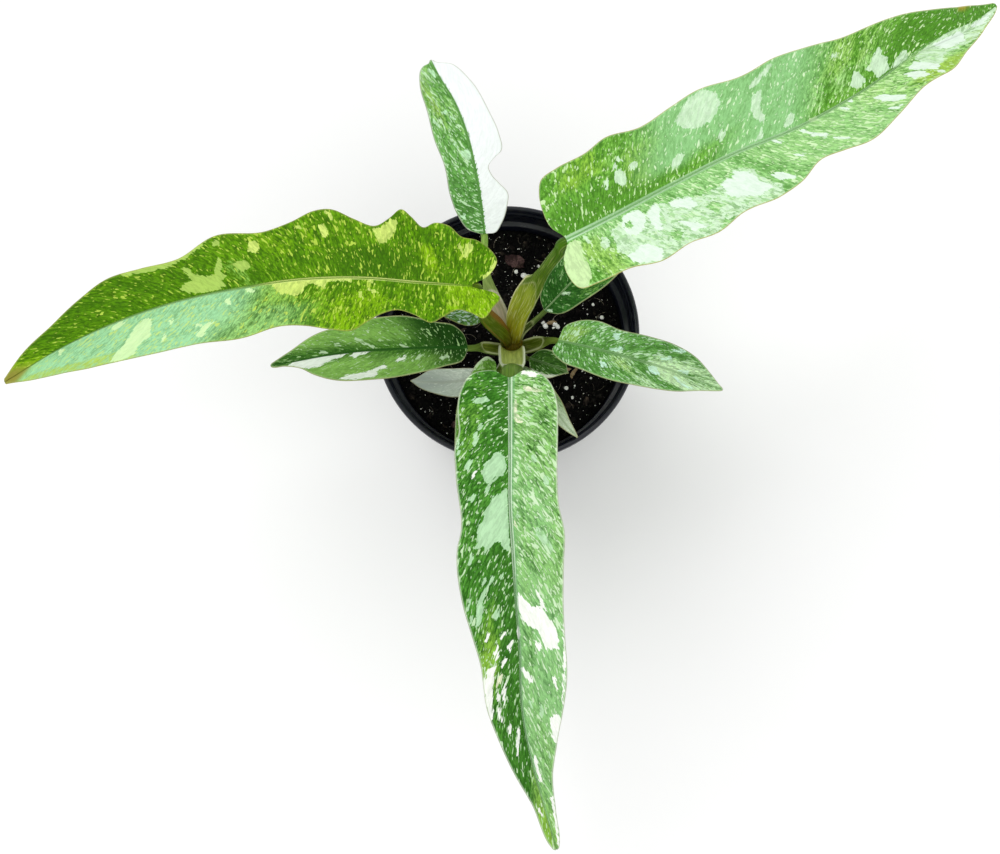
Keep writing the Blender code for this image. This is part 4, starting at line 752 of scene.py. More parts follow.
def leaf_group():
    """Streaks, flecks, patches, veins, margins and a painted sheen from the fields on a blade's points.
    """
    inputs = {name: linear(LEAF_COLOURS[name]) for name in FIELD_COLOURS}
    inputs |= {"flecks": 1.0, "margin": 0.3, "band side": 0.0, "grain": 1.0, "seed": 0.0}
    graph, tone, leave = new_group("leaf pattern", "ShaderNodeTree", inputs, {
        "Colour": "Color", "Roughness": "Float", "Height": "Float"})
    shade, bloom, gold = graph.split(graph.field("tones", "Vector"))
    light, dense, dry = graph.split(graph.field("tones_more", "Vector"))
    white, mint, cream = graph.split(graph.field("marks", "Vector"))
    rib, edge, _ = graph.split(graph.field("relief", "Vector"))
    face, rib_pale, rib_band = graph.split(graph.field("look", "Vector"))
    seed = graph.call("ShaderNodeCombineXYZ", {2: tone["seed"]})
    place = graph.vector("ADD", graph.field("streak", "Vector"), seed)
    drift = graph.noise(place, 0.2, 1.0, output="Color")
    place = graph.vector("ADD", place, graph.vector("MULTIPLY", drift, DRIFT))

    def stretched(along, across, detail=2.0, roughness=0.5):
        """Noise drawn out along the side veins, with those lengths in millimetres."""
        scaled = graph.vector("MULTIPLY", place, (1 / along, 1 / across, 7.0))
        return graph.noise(scaled, 1.0, detail, roughness)

    def line(centre, half):
        """A soft line along the midrib, at a distance from its middle."""
        return graph.step(graph.math("ABSOLUTE", rib - centre), half, half * 0.4)

    # the green ground, cloudy along the side veins, with a painted sky sheen over the leaf's own bloom
    cloud = stretched(*CLOUD)
    grain = stretched(*GRAIN)
    mottle = cloud * 0.45 + grain * 0.55
    ground = graph.blend(graph.step(mottle, 0.41, 0.60), tone["dark"], tone["mid"])
    ground = graph.blend(graph.step(light * 0.34 + mottle, 0.60, 0.84), ground, tone["light"])
    for zone, name, uneven in (
            (shade, "shade", graph.step(mottle, 0.36, 0.58, 0.5, 1.0)),
            (gold, "gold", graph.step(gold * 0.3 + mottle, 0.52, 0.74)),
            (bloom, "bloom", graph.step(mottle, 0.34, 0.56, 0.6, 1.0))):
        ground = graph.blend(zone * uneven, ground, tone[name])
    # the grain is weaker under the painted sheen
    swing = (1 - bloom * 0.7) * tone["grain"]
    contrast = graph.step(grain, 0.36, 0.64, -0.28, 0.28) * swing + 1.0

    # flecks in three sizes, thicker where the leaf is dense with them, with a darker edge; fewer, paler
    # and with a fainter edge under the painted sheen
    reach = (cloud - 0.5) * 0.2 + dense * 0.07 - bloom * 0.02 + (tone["flecks"] * 0.08 - 0.08)
    found, near = 0.0, 0.0
    for along, across, low, high, strength in FLECKS:
        spots = stretched(along, across, 1.0) + reach
        found = graph.most(found, graph.step(spots, low, high, 0.0, strength))
        near = graph.most(near, graph.step(spots, low - 0.07, low, 0.0, 0.15))
    ground = graph.scale(ground, contrast - near * (1 - bloom * 0.75))
    fleck = graph.blend(bloom * 0.4, tone["fleck"], tone["white"])
    paint = graph.blend(found, ground, fleck)

    # patches: their fields turned into ragged fingers along the veins, with green specks
    ragged = graph.step(graph.math("ABSOLUTE", rib), 0.4, 2.6, 0.2, 3.2)
    frayed = (stretched(*FINGERS) - 0.47) * ragged
    net = graph.step(stretched(*NET), 0.47, 0.55, 1.0, 0.0)
    weave = graph.step(stretched(*WEAVE), 0.38, 0.6)
    whole = 1 - dense * 0.9
    for mask, name, clean, faint in ((mint, "mint", whole * 0.85, 0.88),
                                     (cream, "cream", whole * 0.85, 0.84),
                                     (white, "white", 0.9, 0.96)):
        deep = graph.step(mask, 0.3, 1.6, 0.4, 1.0) * whole
        covered = graph.step(mask + frayed, -0.1, 0.14) * graph.most(net, clean, deep)
        woven = graph.scale(tone[name], graph.step(weave, 0.0, 1.0, faint, 1.03))
        paint = graph.blend(covered, paint, woven)

    # withered parts, the midrib's band and pale lines, partly painted highlights on its groove's edges,
    # and the margin
    aside = graph.math("ABSOLUTE", rib - tone["band side"])
    broken = graph.step(stretched(*BREAKS), 0.40, 0.54, 0.2, 1.0)
    for share, name in (
            (graph.step((mottle - 0.5) * 0.9 + dry, 0.2, 1.0), "dry"),
            (graph.step(aside, 1.2, 0.8) * rib_band, "band"),
            (graph.most(line(-0.75, 0.45), line(0.35, 0.4)) * broken * rib_pale, "rib"),
            (graph.step(edge, 0.8, 0.15) * tone["margin"], "rib"),
            (graph.step(edge, 0.4, 0.12, 0.0, 0.6), "dry")):
        paint = graph.blend(share, paint, tone[name])
    # the under side: paler and duller
    dull = graph.blend(0.62, paint, tone["under"])
    graph.feed(leave, "Colour", graph.blend(face, dull, paint))

    cells = stretched(*CELLS)
    pale = graph.most(graph.step(mint, -0.2, 0.4), graph.step(white, -0.2, 0.4))
    matt = graph.step(face, 1.0, 0.0, 0.0, 0.14)
    graph.feed(leave, "Roughness", cells * 0.16 + 0.38 + pale * 0.05 + matt)
    graph.feed(leave, "Height", cells + grain * 0.8)


def leaf_material(name, leaf, order, fleck_amount):
    """The skin of one leaf: the shared pattern with the leaf's own colours."""
    look = {**LEAF_COLOURS, **leaf["paint"]}
    mat, graph, shader = new_material(name + "_skin", 0.45, 0.08)
    values = {part: linear(look[part]) for part in FIELD_COLOURS}
    values |= {"flecks": look["flecks"] * fleck_amount, "margin": look["margin"],
               "band side": look["band_side"], "grain": look["grain"], "seed": order * LEAF_SHIFT}
    made = place_group(graph, "leaf pattern", values)
    cover(graph, shader, made["Colour"], made["Height"], 0.2, made["Roughness"])
    return mat


def stalk_material():
    """Petioles and stem: their painted tint with pale lengthwise streaks."""
    mat, graph, shader = new_material("stalk_skin", 0.42, 0.12)
    tint = graph.field("tint", "Color")
    place = graph.field("stalk", "Vector")
    pale = graph.split(place)[2]
    flat = graph.vector("MULTIPLY", place, (1.0, 1.0, 0.0))
    broad = graph.noise(graph.vector("MULTIPLY", flat, (0.06, 0.55, 1.0)), 1.0, 3.0, 0.6)
    fine = graph.noise(graph.vector("MULTIPLY", flat, (0.11, 1.9, 1.0)), 1.0, 2.0)
    deeper = graph.blend(1.0, tint, (0.42, 0.5, 0.35, 1.0), "MULTIPLY")
    paint = graph.blend(graph.step(broad, 0.38, 0.60, 0.0, 0.55), tint, deeper)
    paint = graph.blend(graph.step(fine, 0.52, 0.66) * pale, paint, linear(RIDGE_COLOUR))
    paint = graph.blend(graph.field("lip"), paint, graph.field("lip_tint", "Color"))
    cover(graph, shader, paint, broad + fine, 0.4, graph.step(fine, 0.3, 0.7, 0.34, 0.52))
    return mat


def wear_group():
    """Dust and fine grain shared by the pot and the things lying in it."""
    graph, value, leave = new_group("dust and grain", "ShaderNodeTree", {
        "Clean": (0.02, 0.02, 0.02, 1.0), "Dust": (0.2, 0.18, 0.15, 1.0), "Amount": 0.3,
        "Scale": 200.0}, {"Colour": "Color", "Mask": "Float", "Height": "Float"})
    place = graph.call("ShaderNodeTexCoord", output="Object")
    broad = graph.noise(place, value["Scale"] * 0.16, 4.0, 0.6)
    fine = graph.noise(place, value["Scale"], 4.0, 0.7)
    mask = graph.step(broad * 0.6 + fine * 0.4, 0.46, 0.66) * value["Amount"]
    graph.feed(leave, "Colour", graph.blend(mask, value["Clean"], value["Dust"]))
    graph.feed(leave, "Mask", mask)
    graph.feed(leave, "Height", fine)


def pot_material(colour):
    """Black plastic, a little dusty, with scuffs that run round it; the blue in its colour is a painted
    sky reflection.
    """
    mat, graph, shader = new_material("black_plastic", 0.34, 0.4)
    made = place_group(graph, "dust and grain", {
        "Clean": (*colour, 1.0), "Dust": linear((88, 80, 70)), "Amount": 0.16, "Scale": 320.0})
    place = graph.call("ShaderNodeTexCoord", output="Object")
    scuffs = graph.noise(graph.vector("MULTIPLY", place, (60.0, 60.0, 900.0)), 1.0, 3.0, 0.6)
    rough = graph.step(scuffs, 0.35, 0.7, 0.27, 0.46) + made["Mask"] * 1.2
    cover(graph, shader, made["Colour"], made["Height"] + scuffs, 0.06, rough)
    return mat


def earth_material(name, deep, pale, amount, rough, scale=1100.0, depth=0.5):
    """Soil, bark, grit or perlite: two tones, varied from piece to piece."""
    mat, graph, shader = new_material(name, rough, 0.1)
    made = place_group(graph, "dust and grain", {
        "Clean": linear(deep), "Dust": linear(pale), "Amount": amount, "Scale": scale})
    vary = graph.step(graph.field("shade"), 0.0, 1.0, 0.55, 1.35)
    cover(graph, shader, graph.scale(made["Colour"], vary), made["Height"], depth)
    return mat


def put_field(mesh, name, values):
    """Store a number for each point, or a row of 3 as a vector, or of 4 as a colour."""
    values = np.ascontiguousarray(values, np.float32)
    kind, key = {1: ("FLOAT", "value"), 3: ("FLOAT_VECTOR", "vector"),
                 4: ("FLOAT_COLOR", "color")}[values.size // len(values)]
    mesh.attributes.new(name, kind, "POINT").data.foreach_set(key, values.ravel())


def add_object(name, data):
    """Put a mesh, a lamp or a camera into the scene."""
    obj = bpy.data.objects.new(name, data)
    bpy.context.scene.collection.objects.link(obj)
    return obj


def solid(name, points, faces, mat):
    """A mesh object from points in millimetres, with its faces turned outwards."""
    mesh = bpy.data.meshes.new(name)
    mesh.from_pydata((np.asarray(points, float) * MM).tolist(), [], faces)
    mesh.materials.append(mat)
    bm = bmesh.new()
    bm.from_mesh(mesh)
    bmesh.ops.recalc_face_normals(bm, faces=bm.faces)
    bm.to_mesh(mesh)
    bm.free()
    mesh.shade_smooth()
    return add_object(name, mesh)


def hand_over(obj, slot, *nodes):
    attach(obj, BODY)
    if nodes:
        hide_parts(*nodes)


def grow(base, name, tree, values):
    """Run a geometry tree on an object, and keep the result as a plain mesh object."""
    modifier = base.modifiers.new("tree", "NODES")
    modifier.node_group = bpy.data.node_groups[tree]
    for item in modifier.node_group.interface.items_tree:
        if item.item_type == "SOCKET" and item.in_out == "INPUT" and item.name in values:
            modifier[item.identifier] = values[item.name]
    bpy.context.view_layer.update()
    graph = bpy.context.evaluated_depsgraph_get()
    mesh = bpy.data.meshes.new_from_object(base.evaluated_get(graph))
    base.modifiers.remove(modifier)
    if not mesh.polygons:
        raise RuntimeError(f"the tree {tree} made nothing for {name}")
    mesh.name = name
    return add_object(name, mesh)


def scatter(graph, value, piece, turn, size):
    """Copies of a piece on the upward faces within reach, each with a shade of its own."""
    up = graph.split(graph.call("GeometryNodeInputNormal"))[2]
    x, y, _ = graph.split(graph.call("GeometryNodeInputPosition"))
    inside = graph.math("LESS_THAN", graph.math("SQRT", x * x + y * y), value["Reach"])
    spots = graph.call("GeometryNodeDistributePointsOnFaces", {
        "Mesh": value["Surface"], "Selection": graph.math("GREATER_THAN", up, UPWARDS) * inside,
        "Density": value["Density"], "Seed": value["Seed"]})
    pieces = graph.call("GeometryNodeInstanceOnPoints", {
        "Points": spots, "Instance": piece, "Rotation": turn, "Scale": size})
    pieces = graph.call("GeometryNodeStoreNamedAttribute", {
        "Geometry": pieces, "Name": "shade", "Value": graph.draw(value["Seed"])},
        domain="INSTANCE")
    return graph.call("GeometryNodeRealizeInstances", {0: pieces})


def end_tree(graph, leave, made, mat):
    """Give what a geometry tree made its material, and let it out."""
    made = graph.call("GeometryNodeSetMaterial", {"Geometry": made, "Material": mat})
    graph.feed(leave, 0, made)


def litter_tree():
    """Scatter small rugged pieces over the upward faces of a mesh."""
    graph, value, leave = new_group("litter", "GeometryNodeTree", {
        "Surface": "Geometry", "Density": 1000.0, "Reach": 0.05, "Smallest": 0.0005,
        "Largest": 0.001, "Proportions": (1.0, 1.0, 1.0), "Ruggedness": 0.0005, "Seed": 1,
        "Tilt": 3.0, "Material": "Material"}, {"Litter": "Geometry"})
    seed, tilt = value["Seed"], value["Tilt"]
    lump = graph.call("GeometryNodeMeshIcoSphere", {"Radius": 1.0, "Subdivisions": 1})
    most_turn = graph.call("ShaderNodeCombineXYZ", {0: tilt, 1: tilt, 2: FULL_TURN})
    turn = graph.draw(seed, (0.0, 0.0, 0.0), most_turn)
    size = graph.scale(value["Proportions"], graph.draw(
        seed, value["Smallest"], value["Largest"]))
    size = graph.vector("MULTIPLY", size, graph.draw(seed, (0.7, 0.7, 0.7), (1.3, 1.3, 1.3)))
    pieces = scatter(graph, value, lump, turn, size)
    rugged = graph.noise(graph.call("GeometryNodeInputPosition"), 900.0, output=1)
    shift = graph.scale(graph.vector("SUBTRACT", rugged, (0.5, 0.5, 0.5)), value["Ruggedness"])
    pieces = graph.call("GeometryNodeSetPosition", {"Geometry": pieces, "Offset": shift})
    end_tree(graph, leave, pieces, value["Material"])


def fibre_tree():
    """Scatter thin bent fibres over the upward faces of a mesh."""
    graph, value, leave = new_group("fibres", "GeometryNodeTree", {
        "Surface": "Geometry", "Density": 1000.0, "Reach": 0.05, "Length": 0.006,
        "Thickness": 0.0001, "Seed": 1, "Material": "Material"}, {"Fibres": "Geometry"})
    seed = value["Seed"]
    arc = graph.call("GeometryNodeCurveQuadraticBezier", {
        "Resolution": 6, "Start": (-0.5, 0.0, 0.0), "Middle": (0.0, 0.3, 0.35),
        "End": (0.5, 0.0, 0.05)})
    turn = graph.draw(seed, (-0.25, -0.25, 0.0), (0.25, 0.25, FULL_TURN))
    size = value["Length"] * graph.draw(seed, 0.4, 1.0)
    strands = scatter(graph, value, arc, turn, size)
    ring = graph.call("GeometryNodeCurvePrimitiveCircle", {
        "Resolution": 4, "Radius": value["Thickness"]})
    strands = graph.call("GeometryNodeCurveToMesh", {
        "Curve": strands, "Profile Curve": ring, "Fill Caps": True})
    end_tree(graph, leave, strands, value["Material"])


def slot_tree():
    """Cut evenly spaced drainage slots round the foot of a turned pot."""
    graph, value, leave = new_group("drainage slots", "GeometryNodeTree", {
        "Pot": "Geometry", "Count": SLOTS, "Ring": 0.04, "Size": (0.01, 0.005, 0.006),
        "Material": "Material"}, {"Pot": "Geometry"})
    ring = graph.call("GeometryNodeMeshCircle", {
        "Vertices": value["Count"], "Radius": value["Ring"]}, fill_type="NONE")
    half = graph.call("ShaderNodeCombineXYZ", {2: graph.math("DIVIDE", math.pi, value["Count"])})
    ring = graph.call("GeometryNodeTransform", {"Geometry": ring, "Rotation": half})
    outwards = graph.call("FunctionNodeAlignRotationToVector", {
        "Vector": graph.call("GeometryNodeInputPosition")}, axis="X")
    cutters = graph.call("GeometryNodeInstanceOnPoints", {
        "Points": ring, "Rotation": outwards,
        "Instance": graph.call("GeometryNodeMeshCube", {"Size": value["Size"]})})
    cutters = graph.call("GeometryNodeRealizeInstances", {0: cutters})
    made = graph.call("GeometryNodeMeshBoolean", {
        "Mesh 1": value["Pot"], "Mesh 2": cutters}, "Mesh", operation="DIFFERENCE")
    made = graph.call("GeometryNodeRealizeInstances", {0: made})
    end_tree(graph, leave, made, value["Material"])


def turned(name, profile, sides, mat):
    """A closed profile of (radius, height) turned about Z; a radius of 0 is a pole."""
    points = []
    rings = []
    for radius, height in profile:
        if radius == 0:
            rings.append([len(points)] * sides)
            points.append((0.0, 0.0, height))
            continue
        rings.append(list(range(len(points), len(points) + sides)))
        for i in range(sides):
            turn = 2 * math.pi * i / sides
            points.append((radius * math.cos(turn), radius * math.sin(turn), height))
    faces = []
    for low, high in zip(rings, rings[1:]):
        for i in range(sides):
            j = (i + 1) % sides
            faces.append(list(dict.fromkeys([low[i], low[j], high[j], high[i]])))
    return solid(name, points, faces, mat)


def inner_radius(height):
    """Radius of the pot's tapered inner wall at a height."""
    share = (height - FLOOR) / (LEDGE_Z - FLOOR)
    low = POT_BASE_RADIUS - WALL
    return low + (BODY_TOP_RADIUS - WALL - low) * share


def rounded(corners, radius, steps=4):
    """A profile with each inner corner replaced by a short arc."""
    made = [corners[0]]
    for before, corner, after in zip(corners, corners[1:], corners[2:]):
        a, b, c = (np.array(p, float) for p in (before, corner, after))
        back, ahead = a - b, c - b
        reach = min(radius, 0.45 * np.linalg.norm(back), 0.45 * np.linalg.norm(ahead))
        start, end = b + unit(back) * reach, b + unit(ahead) * reach
        for k in range(steps + 1):
            t = k / steps
            made.append(tuple((1 - t) ** 2 * start + 2 * t * (1 - t) * b + t * t * end))
    made.append(corners[-1])
    return made


def points_of(numbers, size):
    """Points of a size from numbers given point after point."""
    return [tuple(numbers[k:k + size]) for k in range(0, len(numbers), size)]


def smooth_curve(points, samples=400):
    """A smooth curve through the points, as closely spaced samples."""
    pts = np.array(points, float)
    gaps = np.linalg.norm(np.diff(pts, axis=0), axis=1)
    knots = np.concatenate([[0.0], np.cumsum(gaps)])
    slopes = np.gradient(pts, knots, axis=0)
    t = np.linspace(0.0, knots[-1], samples)
    seg = np.clip(np.searchsorted(knots, t, side="right") - 1, 0, len(pts) - 2)
    span = (knots[seg + 1] - knots[seg])[:, None]
    f = (t - knots[seg])[:, None] / span
    start = (2 * f**3 - 3 * f**2 + 1) * pts[seg] + (f**3 - 2 * f**2 + f) * span * slopes[seg]
    end = (3 * f**2 - 2 * f**3) * pts[seg + 1] + (f**3 - f**2) * span * slopes[seg + 1]
    return start + end


def along(curve):
    """Distance along a sampled curve."""
    steps = np.linalg.norm(np.diff(curve, axis=0), axis=1)
    return np.concatenate([[0.0], np.cumsum(steps)])


def sample(curve, reach, where):
    """Places on a sampled curve, by their distance along it."""
    return np.column_stack([np.interp(where, reach, part) for part in curve.T])


def unit(vectors):
    return vectors / np.linalg.norm(vectors, axis=-1, keepdims=True)


def ease(value, low, high):
    """A smooth 0 to 1 as value goes from low to high."""
    t = np.clip((value - low) / (high - low), 0.0, 1.0)
    return t * t * (3 - 2 * t)


def bell(value, width):
    """1 at a value of 0, falling away smoothly on both sides."""
    return np.exp(-(value / width) ** 2)


def lumps(x, y, spacing, seed, octaves=4):
    """Smooth value noise in the plane, about -1 to 1."""
    total = np.zeros_like(x)
    draw = np.random.default_rng(seed)
    strength = 1.0
    for _ in range(octaves):
        table = draw.uniform(-1, 1, (64, 64))
        gx, gy = x / spacing + 100.5, y / spacing + 100.5
        ix, iy = np.floor(gx).astype(int), np.floor(gy).astype(int)
        fx, fy = ease(gx - ix, 0, 1), ease(gy - iy, 0, 1)
        low = table[ix % 64, iy % 64] * (1 - fx) + table[(ix + 1) % 64, iy % 64] * fx
        high = table[ix % 64, (iy + 1) % 64] * (1 - fx)
        high = high + table[(ix + 1) % 64, (iy + 1) % 64] * fx
        total += strength * (low * (1 - fy) + high * fy)
        strength *= 0.5
        spacing *= 0.5
    return total


class Blade:
    """The curved surface of one leaf: places on the flat blade become places in air."""

    def __init__(self, leaf):
        self.curve = smooth_curve(points_of(leaf["midrib"], 3))
        self.reach = along(self.curve)
        self.length = self.reach[-1]
        self.heading = unit(np.gradient(self.curve, self.reach, axis=0))
        self.fold = np.radians(leaf["fold"])
        self.wave, self.pitch = leaf["wave"]
        self.half = max(leaf["left"][1::2] + leaf["right"][1::2])
        self.neck = leaf["section"][-1][1]
        self.slant = leaf.get("slant", VEIN_SLANT)

    def frame(self, u):
        """Point, heading, side and up of the midrib at distances u."""
        held = np.clip(u, 0.0, self.length)
        point = sample(self.curve, self.reach, held)
        heading = unit(sample(self.heading, self.reach, held))
        side = unit(np.cross(heading, (0.0, 0.0, 1.0)))
        up = np.cross(side, heading)
        return point + (u - held)[:, None] * heading, heading, side, up

    def place(self, u, v):
        """v is the distance across, positive to the right of the midrib."""
        point, _, side, up = self.frame(u)
        share = np.clip(u / self.length, 0.0, 1.0)
        rise = self.fold[0] + (self.fold[1] - self.fold[0]) * share
        across = np.abs(v)
        phase = 2 * math.pi * u / self.pitch + np.where(v > 0, 0.0, WAVE_LAG)
        fade = np.exp(-WAVE_FADE * share)
        ripple = self.wave * (across / self.half) ** 2 * np.sin(phase) * fade
        out = (np.sign(v) * across * np.cos(rise))[:, None] * side
        return point + out + (across * np.sin(rise) + ripple)[:, None] * up

    def normal(self, u, v, step=0.05):
        du = self.place(u + step, v) - self.place(u - step, v)
        dv = self.place(u, v + step) - self.place(u, v - step)
        return unit(np.cross(dv, du))

    def rib_half(self, share):
        """Half the width of the midrib, from the neck to the tip."""
        return self.neck * RIB_SPREAD * (1 - share) ** 0.8 + 0.3

    def rib_depth(self, share):
        """How deep the solid is at its midrib, from the neck to the tip."""
        return SOLID_BLADE + (2 * self.neck - SOLID_BLADE) * (1 - share) ** 2.5


def blade_grid(leaf, blade):
    """Flat places of a blade's grid, row by row, and how far each is from the margin."""
    rows = int(blade.length / ROW)
    lanes = int(blade.half / LANE)
    share = (np.arange(rows + 1) / rows) ** CROWD
    root = blade.length * share ** SWEEP
    tip = TIP_ROUND * min(1.0, blade.half / 20)
    halves = {}
    for name, sign in (("left", -1.0), ("right", 1.0)):
        margin = [(0.0, blade.neck * NOTCH)] + points_of(leaf[name], 2)
        margin += [(blade.length - tip, tip), (blade.length - 0.25 * tip, 0.7 * tip)]
        curve = smooth_curve(margin + [(blade.length, 0.3 * tip)])
        reach = along(curve)
        u_edge, v_edge = sample(curve, reach, share * reach[-1]).T
        width = np.hypot(u_edge - root, v_edge)
        rim = np.minimum(RIM / width, 0.6)
        parts = [k / lanes * (1 - rim) for k in range(1, lanes + 1)]
        parts += [1 - 0.35 * rim, np.ones_like(rim)]
        halves[name] = [(root + p * (u_edge - root), sign * p * v_edge, (1 - p) * width)
                        for p in parts]
    middle = (root, np.zeros_like(root), np.full_like(root, blade.half))
    grid = halves["left"][::-1] + [middle] + halves["right"]
    u, v, edge = (np.column_stack([lane[k] for lane in grid]).ravel() for k in range(3))
    return u, v, np.minimum(edge, blade.length - u + 0.3), len(root)


def vein_places(leaf, blade, u, v):
    """Distance along the side veins, across them from the base, and where each is mid-width."""
    half = [np.interp(u, edge[::2], edge[1::2]) for edge in (leaf["left"], leaf["right"])]
    steps, slants = zip(*blade.slant)
    slant = np.interp(u / blade.length, steps, slants)
    along_vein = np.abs(v) * np.sqrt(1 + slant**2)
    table = np.linspace(-0.5, 1.0, 600) * blade.length
    sine = 1 / np.sqrt(1 + np.interp(table / blade.length, steps, slants) ** 2)
    gone = np.concatenate([[0.0], np.cumsum((sine[1:] + sine[:-1]) / 2 * np.diff(table))])
    root = u - np.abs(v) * slant
    crossing = root + 0.45 * np.where(v < 0, *half) * slant
    return along_vein, np.interp(root, table, gone), crossing


def outline_field(outlines, u, v):
    """Distance inside the nearest of some outlines, in millimetres, and negative outside."""
    best = np.full(u.shape, -MARK_REACH)
    for outline in outlines:
        pts = np.array(outline, float).reshape(-1, 2)
        gap = np.full(u.shape, 1e9)
        inside = np.zeros(u.shape, bool)
        for (au, av), (bu, bv) in zip(pts, np.roll(pts, -1, axis=0)):
            du, dv = bu - au, bv - av
            t = np.clip(((u - au) * du + (v - av) * dv) / (du * du + dv * dv), 0, 1)
            gap = np.minimum(gap, np.hypot(u - au - t * du, v - av - t * dv))
            if dv:
                crosses = (av > v) != (bv > v)
                inside ^= crosses & (u < au + (v - av) / dv * du)
        if len(pts) == 2:
            field = STREAK_HALF - gap
        else:
            field = np.where(inside, gap, -gap) + MARK_SPREAD
        best = np.maximum(best, field)
    return np.clip(best, -MARK_REACH, MARK_REACH)


def tone_field(zones, root, v, seed):
    """Strength of a broad tone, from soft zones whose ends follow the side veins."""
    total = np.zeros(v.shape)
    loose = TONE_STRAY * lumps(root, v, TONE_LUMPS, seed, 3)
    for u0, u1, v0, v1, strength in zones:
        soft = min(TONE_SOFT, (u1 - u0) / 2.4)
        part = ease(root + loose - u0, -soft, soft) * ease(u1 - root - loose, -soft, soft)
        for gap, limit in ((v - v0, v0), (v1 - v, v1)):
            if limit:
                part = part * ease(gap + 0.6 * loose, -TONE_EDGE, TONE_EDGE)
            else:
                part = part * ease(gap, -0.3, 0.3)
        total = np.where(abs(strength) * part > np.abs(total), strength * part, total)
    return total


def rim_faces(rows, lanes):
    """Quads of a slab: top, under side and the rim that joins them."""
    total = rows * lanes
    index = np.arange(total).reshape(rows, lanes)
    a, b = index[:-1, :-1].ravel(), index[:-1, 1:].ravel()
    c, d = index[1:, 1:].ravel(), index[1:, :-1].ravel()
    faces = np.column_stack([a, b, c, d]).tolist()
    faces += (np.column_stack([d, c, b, a]) + total).tolist()
    rim = list(index[0]) + list(index[1:, -1]) + list(index[-1, -2::-1])
    rim += list(index[-2:0:-1, 0])
    for p, q in zip(rim, rim[1:] + rim[:1]):
        faces.append([int(q), int(p), int(total + p), int(total + q)])
    return faces


def make_blade(name, leaf, order, settings):
    """One fine blade: rounded rim, sunk midrib, quilted side veins and its fields."""
    blade = Blade(leaf)
    u, v, edge, rows = blade_grid(leaf, blade)
    share = np.clip(u / blade.length, 0, 1)
    small = min(1.0, blade.half / SMALL_HALF)
    along_vein, from_base, root = vein_places(leaf, blade, u, v)
    stops, widths, pales, bands = zip(*leaf.get("rib", RIB_PLAIN))
    line = np.interp(u, stops, widths)
    from_rib = v - np.interp(u, *zip(*leaf.get("sway", [(0, 0)])))
    away = np.abs(from_rib)

    # thickness: thinner round the rim, with the midrib's keel underneath
    sheet = settings.blade / MM
    rim = np.sqrt(np.clip(1 - (1 - np.clip(edge / RIM, 0, 1)) ** 2, 0.02, 1))
    thick = sheet * rim
    hull = np.clip(1 - (v / blade.rib_half(share) / KEEL_SPREAD) ** 2, 0, 1) ** 0.8
    keel = (blade.rib_depth(share) - sheet) * hull
    # relief of the top: side veins pressed in, pillows between them, the midrib's groove
    inner = ease(edge, 0.5, 5.0) * ease(away, line, line + 4.0)
    phase = from_base / settings.vein_pitch * MM
    gap = np.abs(phase - np.round(phase)) * settings.vein_pitch / MM
    depth = settings.vein_depth / MM * small
    pillow = depth * (0.5 - bell(gap, VEIN_WIDTH) - 0.3 * bell(gap, PILLOW_SLOPE))
    fine = FINE_VEIN_DEPTH * np.cos(2 * math.pi * from_base / FINE_VEIN_PITCH) * small
    shoulder = RIB_SHOULDER * bell(away - 1.1 * line, 0.5 * line)
    groove = shoulder - RIB_GROOVE * bell(away, 0.6 * line)
    swell = lumps(u, v, SWELL_SPACING, order + SWELL_SEED, 3) * SWELL_HEIGHT * small
    swell = swell * ease(away, 0.0, 6.0)
    relief = (pillow + fine) * inner + groove * min(1.0, blade.neck / 2.0) + swell

    surface = blade.place(u, v)
    normal = blade.normal(u, v)
    centre = np.abs(v) < 1e-9
    normal[centre] = blade.frame(u[centre])[3]
    lift = relief - (sheet - thick) / 2
    top = surface + normal * lift[:, None]
    under = surface + normal * (lift - thick - keel)[:, None]
    mat = leaf_material(name, leaf, order, settings.fleck_amount)
    obj = solid(name + "_blade", np.vstack([top, under]), rim_faces(rows, len(u) // rows), mat)

    def store(field, columns, below=(1, 1, 1)):
        """Keep three values for each point of the top, and for the one under it."""
        values = np.column_stack(columns)
        put_field(obj.data, field, np.vstack([values, values * below]))

    white, mint, cream, green = (outline_field(leaf.get(kind + "_marks", []), u, v)
                                 for kind in ("white", "mint", "cream", "green"))
    store("marks", [np.minimum(mark, -green) for mark in (white, mint, cream)])
    tones = leaf.get("tones", {})
    for field, kinds in TONE_FIELDS.items():
        store(field, [tone_field(tones.get(kind, []), root, from_rib, order + TONE_SEED)
                      for kind in kinds])
    grain = 1.0 if blade.half > SMALL_HALF else SMALL_LEAF_GRAIN
    store("streak", [along_vein * grain, from_base * grain, np.sign(v) * 3.0])
    store("relief", [from_rib / line, edge, np.zeros_like(u)])
    store("look", [np.ones_like(u), np.interp(u, stops, pales), np.interp(u, stops, bands)],
          (0, 1, 1))
    hand_over(obj, leaf.get("slot", "green_leaf"), name)


def colour_along(stops, share):
    """A colour between stops of share and sRGB colour, as linear values."""
    parts = zip(*(linear(colour)[:3] for _, *colour in stops))
    return np.array([np.interp(share, [stop[0] for stop in stops], part) for part in parts])


def stalk_ring(radius, groove):
    """Points round a petiole, their angles, and whether each lies on its open face."""
    inner = radius - min(radius, SHEATH_WALL) * (1 - groove) / 2
    back = np.radians(np.arange(180, 361, STALK_TURN))
    front = np.radians(np.arange(STALK_TURN, 180, STALK_TURN))
    ring = np.vstack([
        np.column_stack([radius * np.cos(back), radius * np.sin(back)]),
        np.column_stack([inner * np.cos(front), groove * inner * np.sin(front)])])
    for _ in range(3):
        ring = (ring * 2 + np.roll(ring, 1, axis=0) + np.roll(ring, -1, axis=0)) / 4
    face = np.concatenate([np.zeros(len(back)), np.ones(len(front))])
    return ring, np.concatenate([back, front]), face


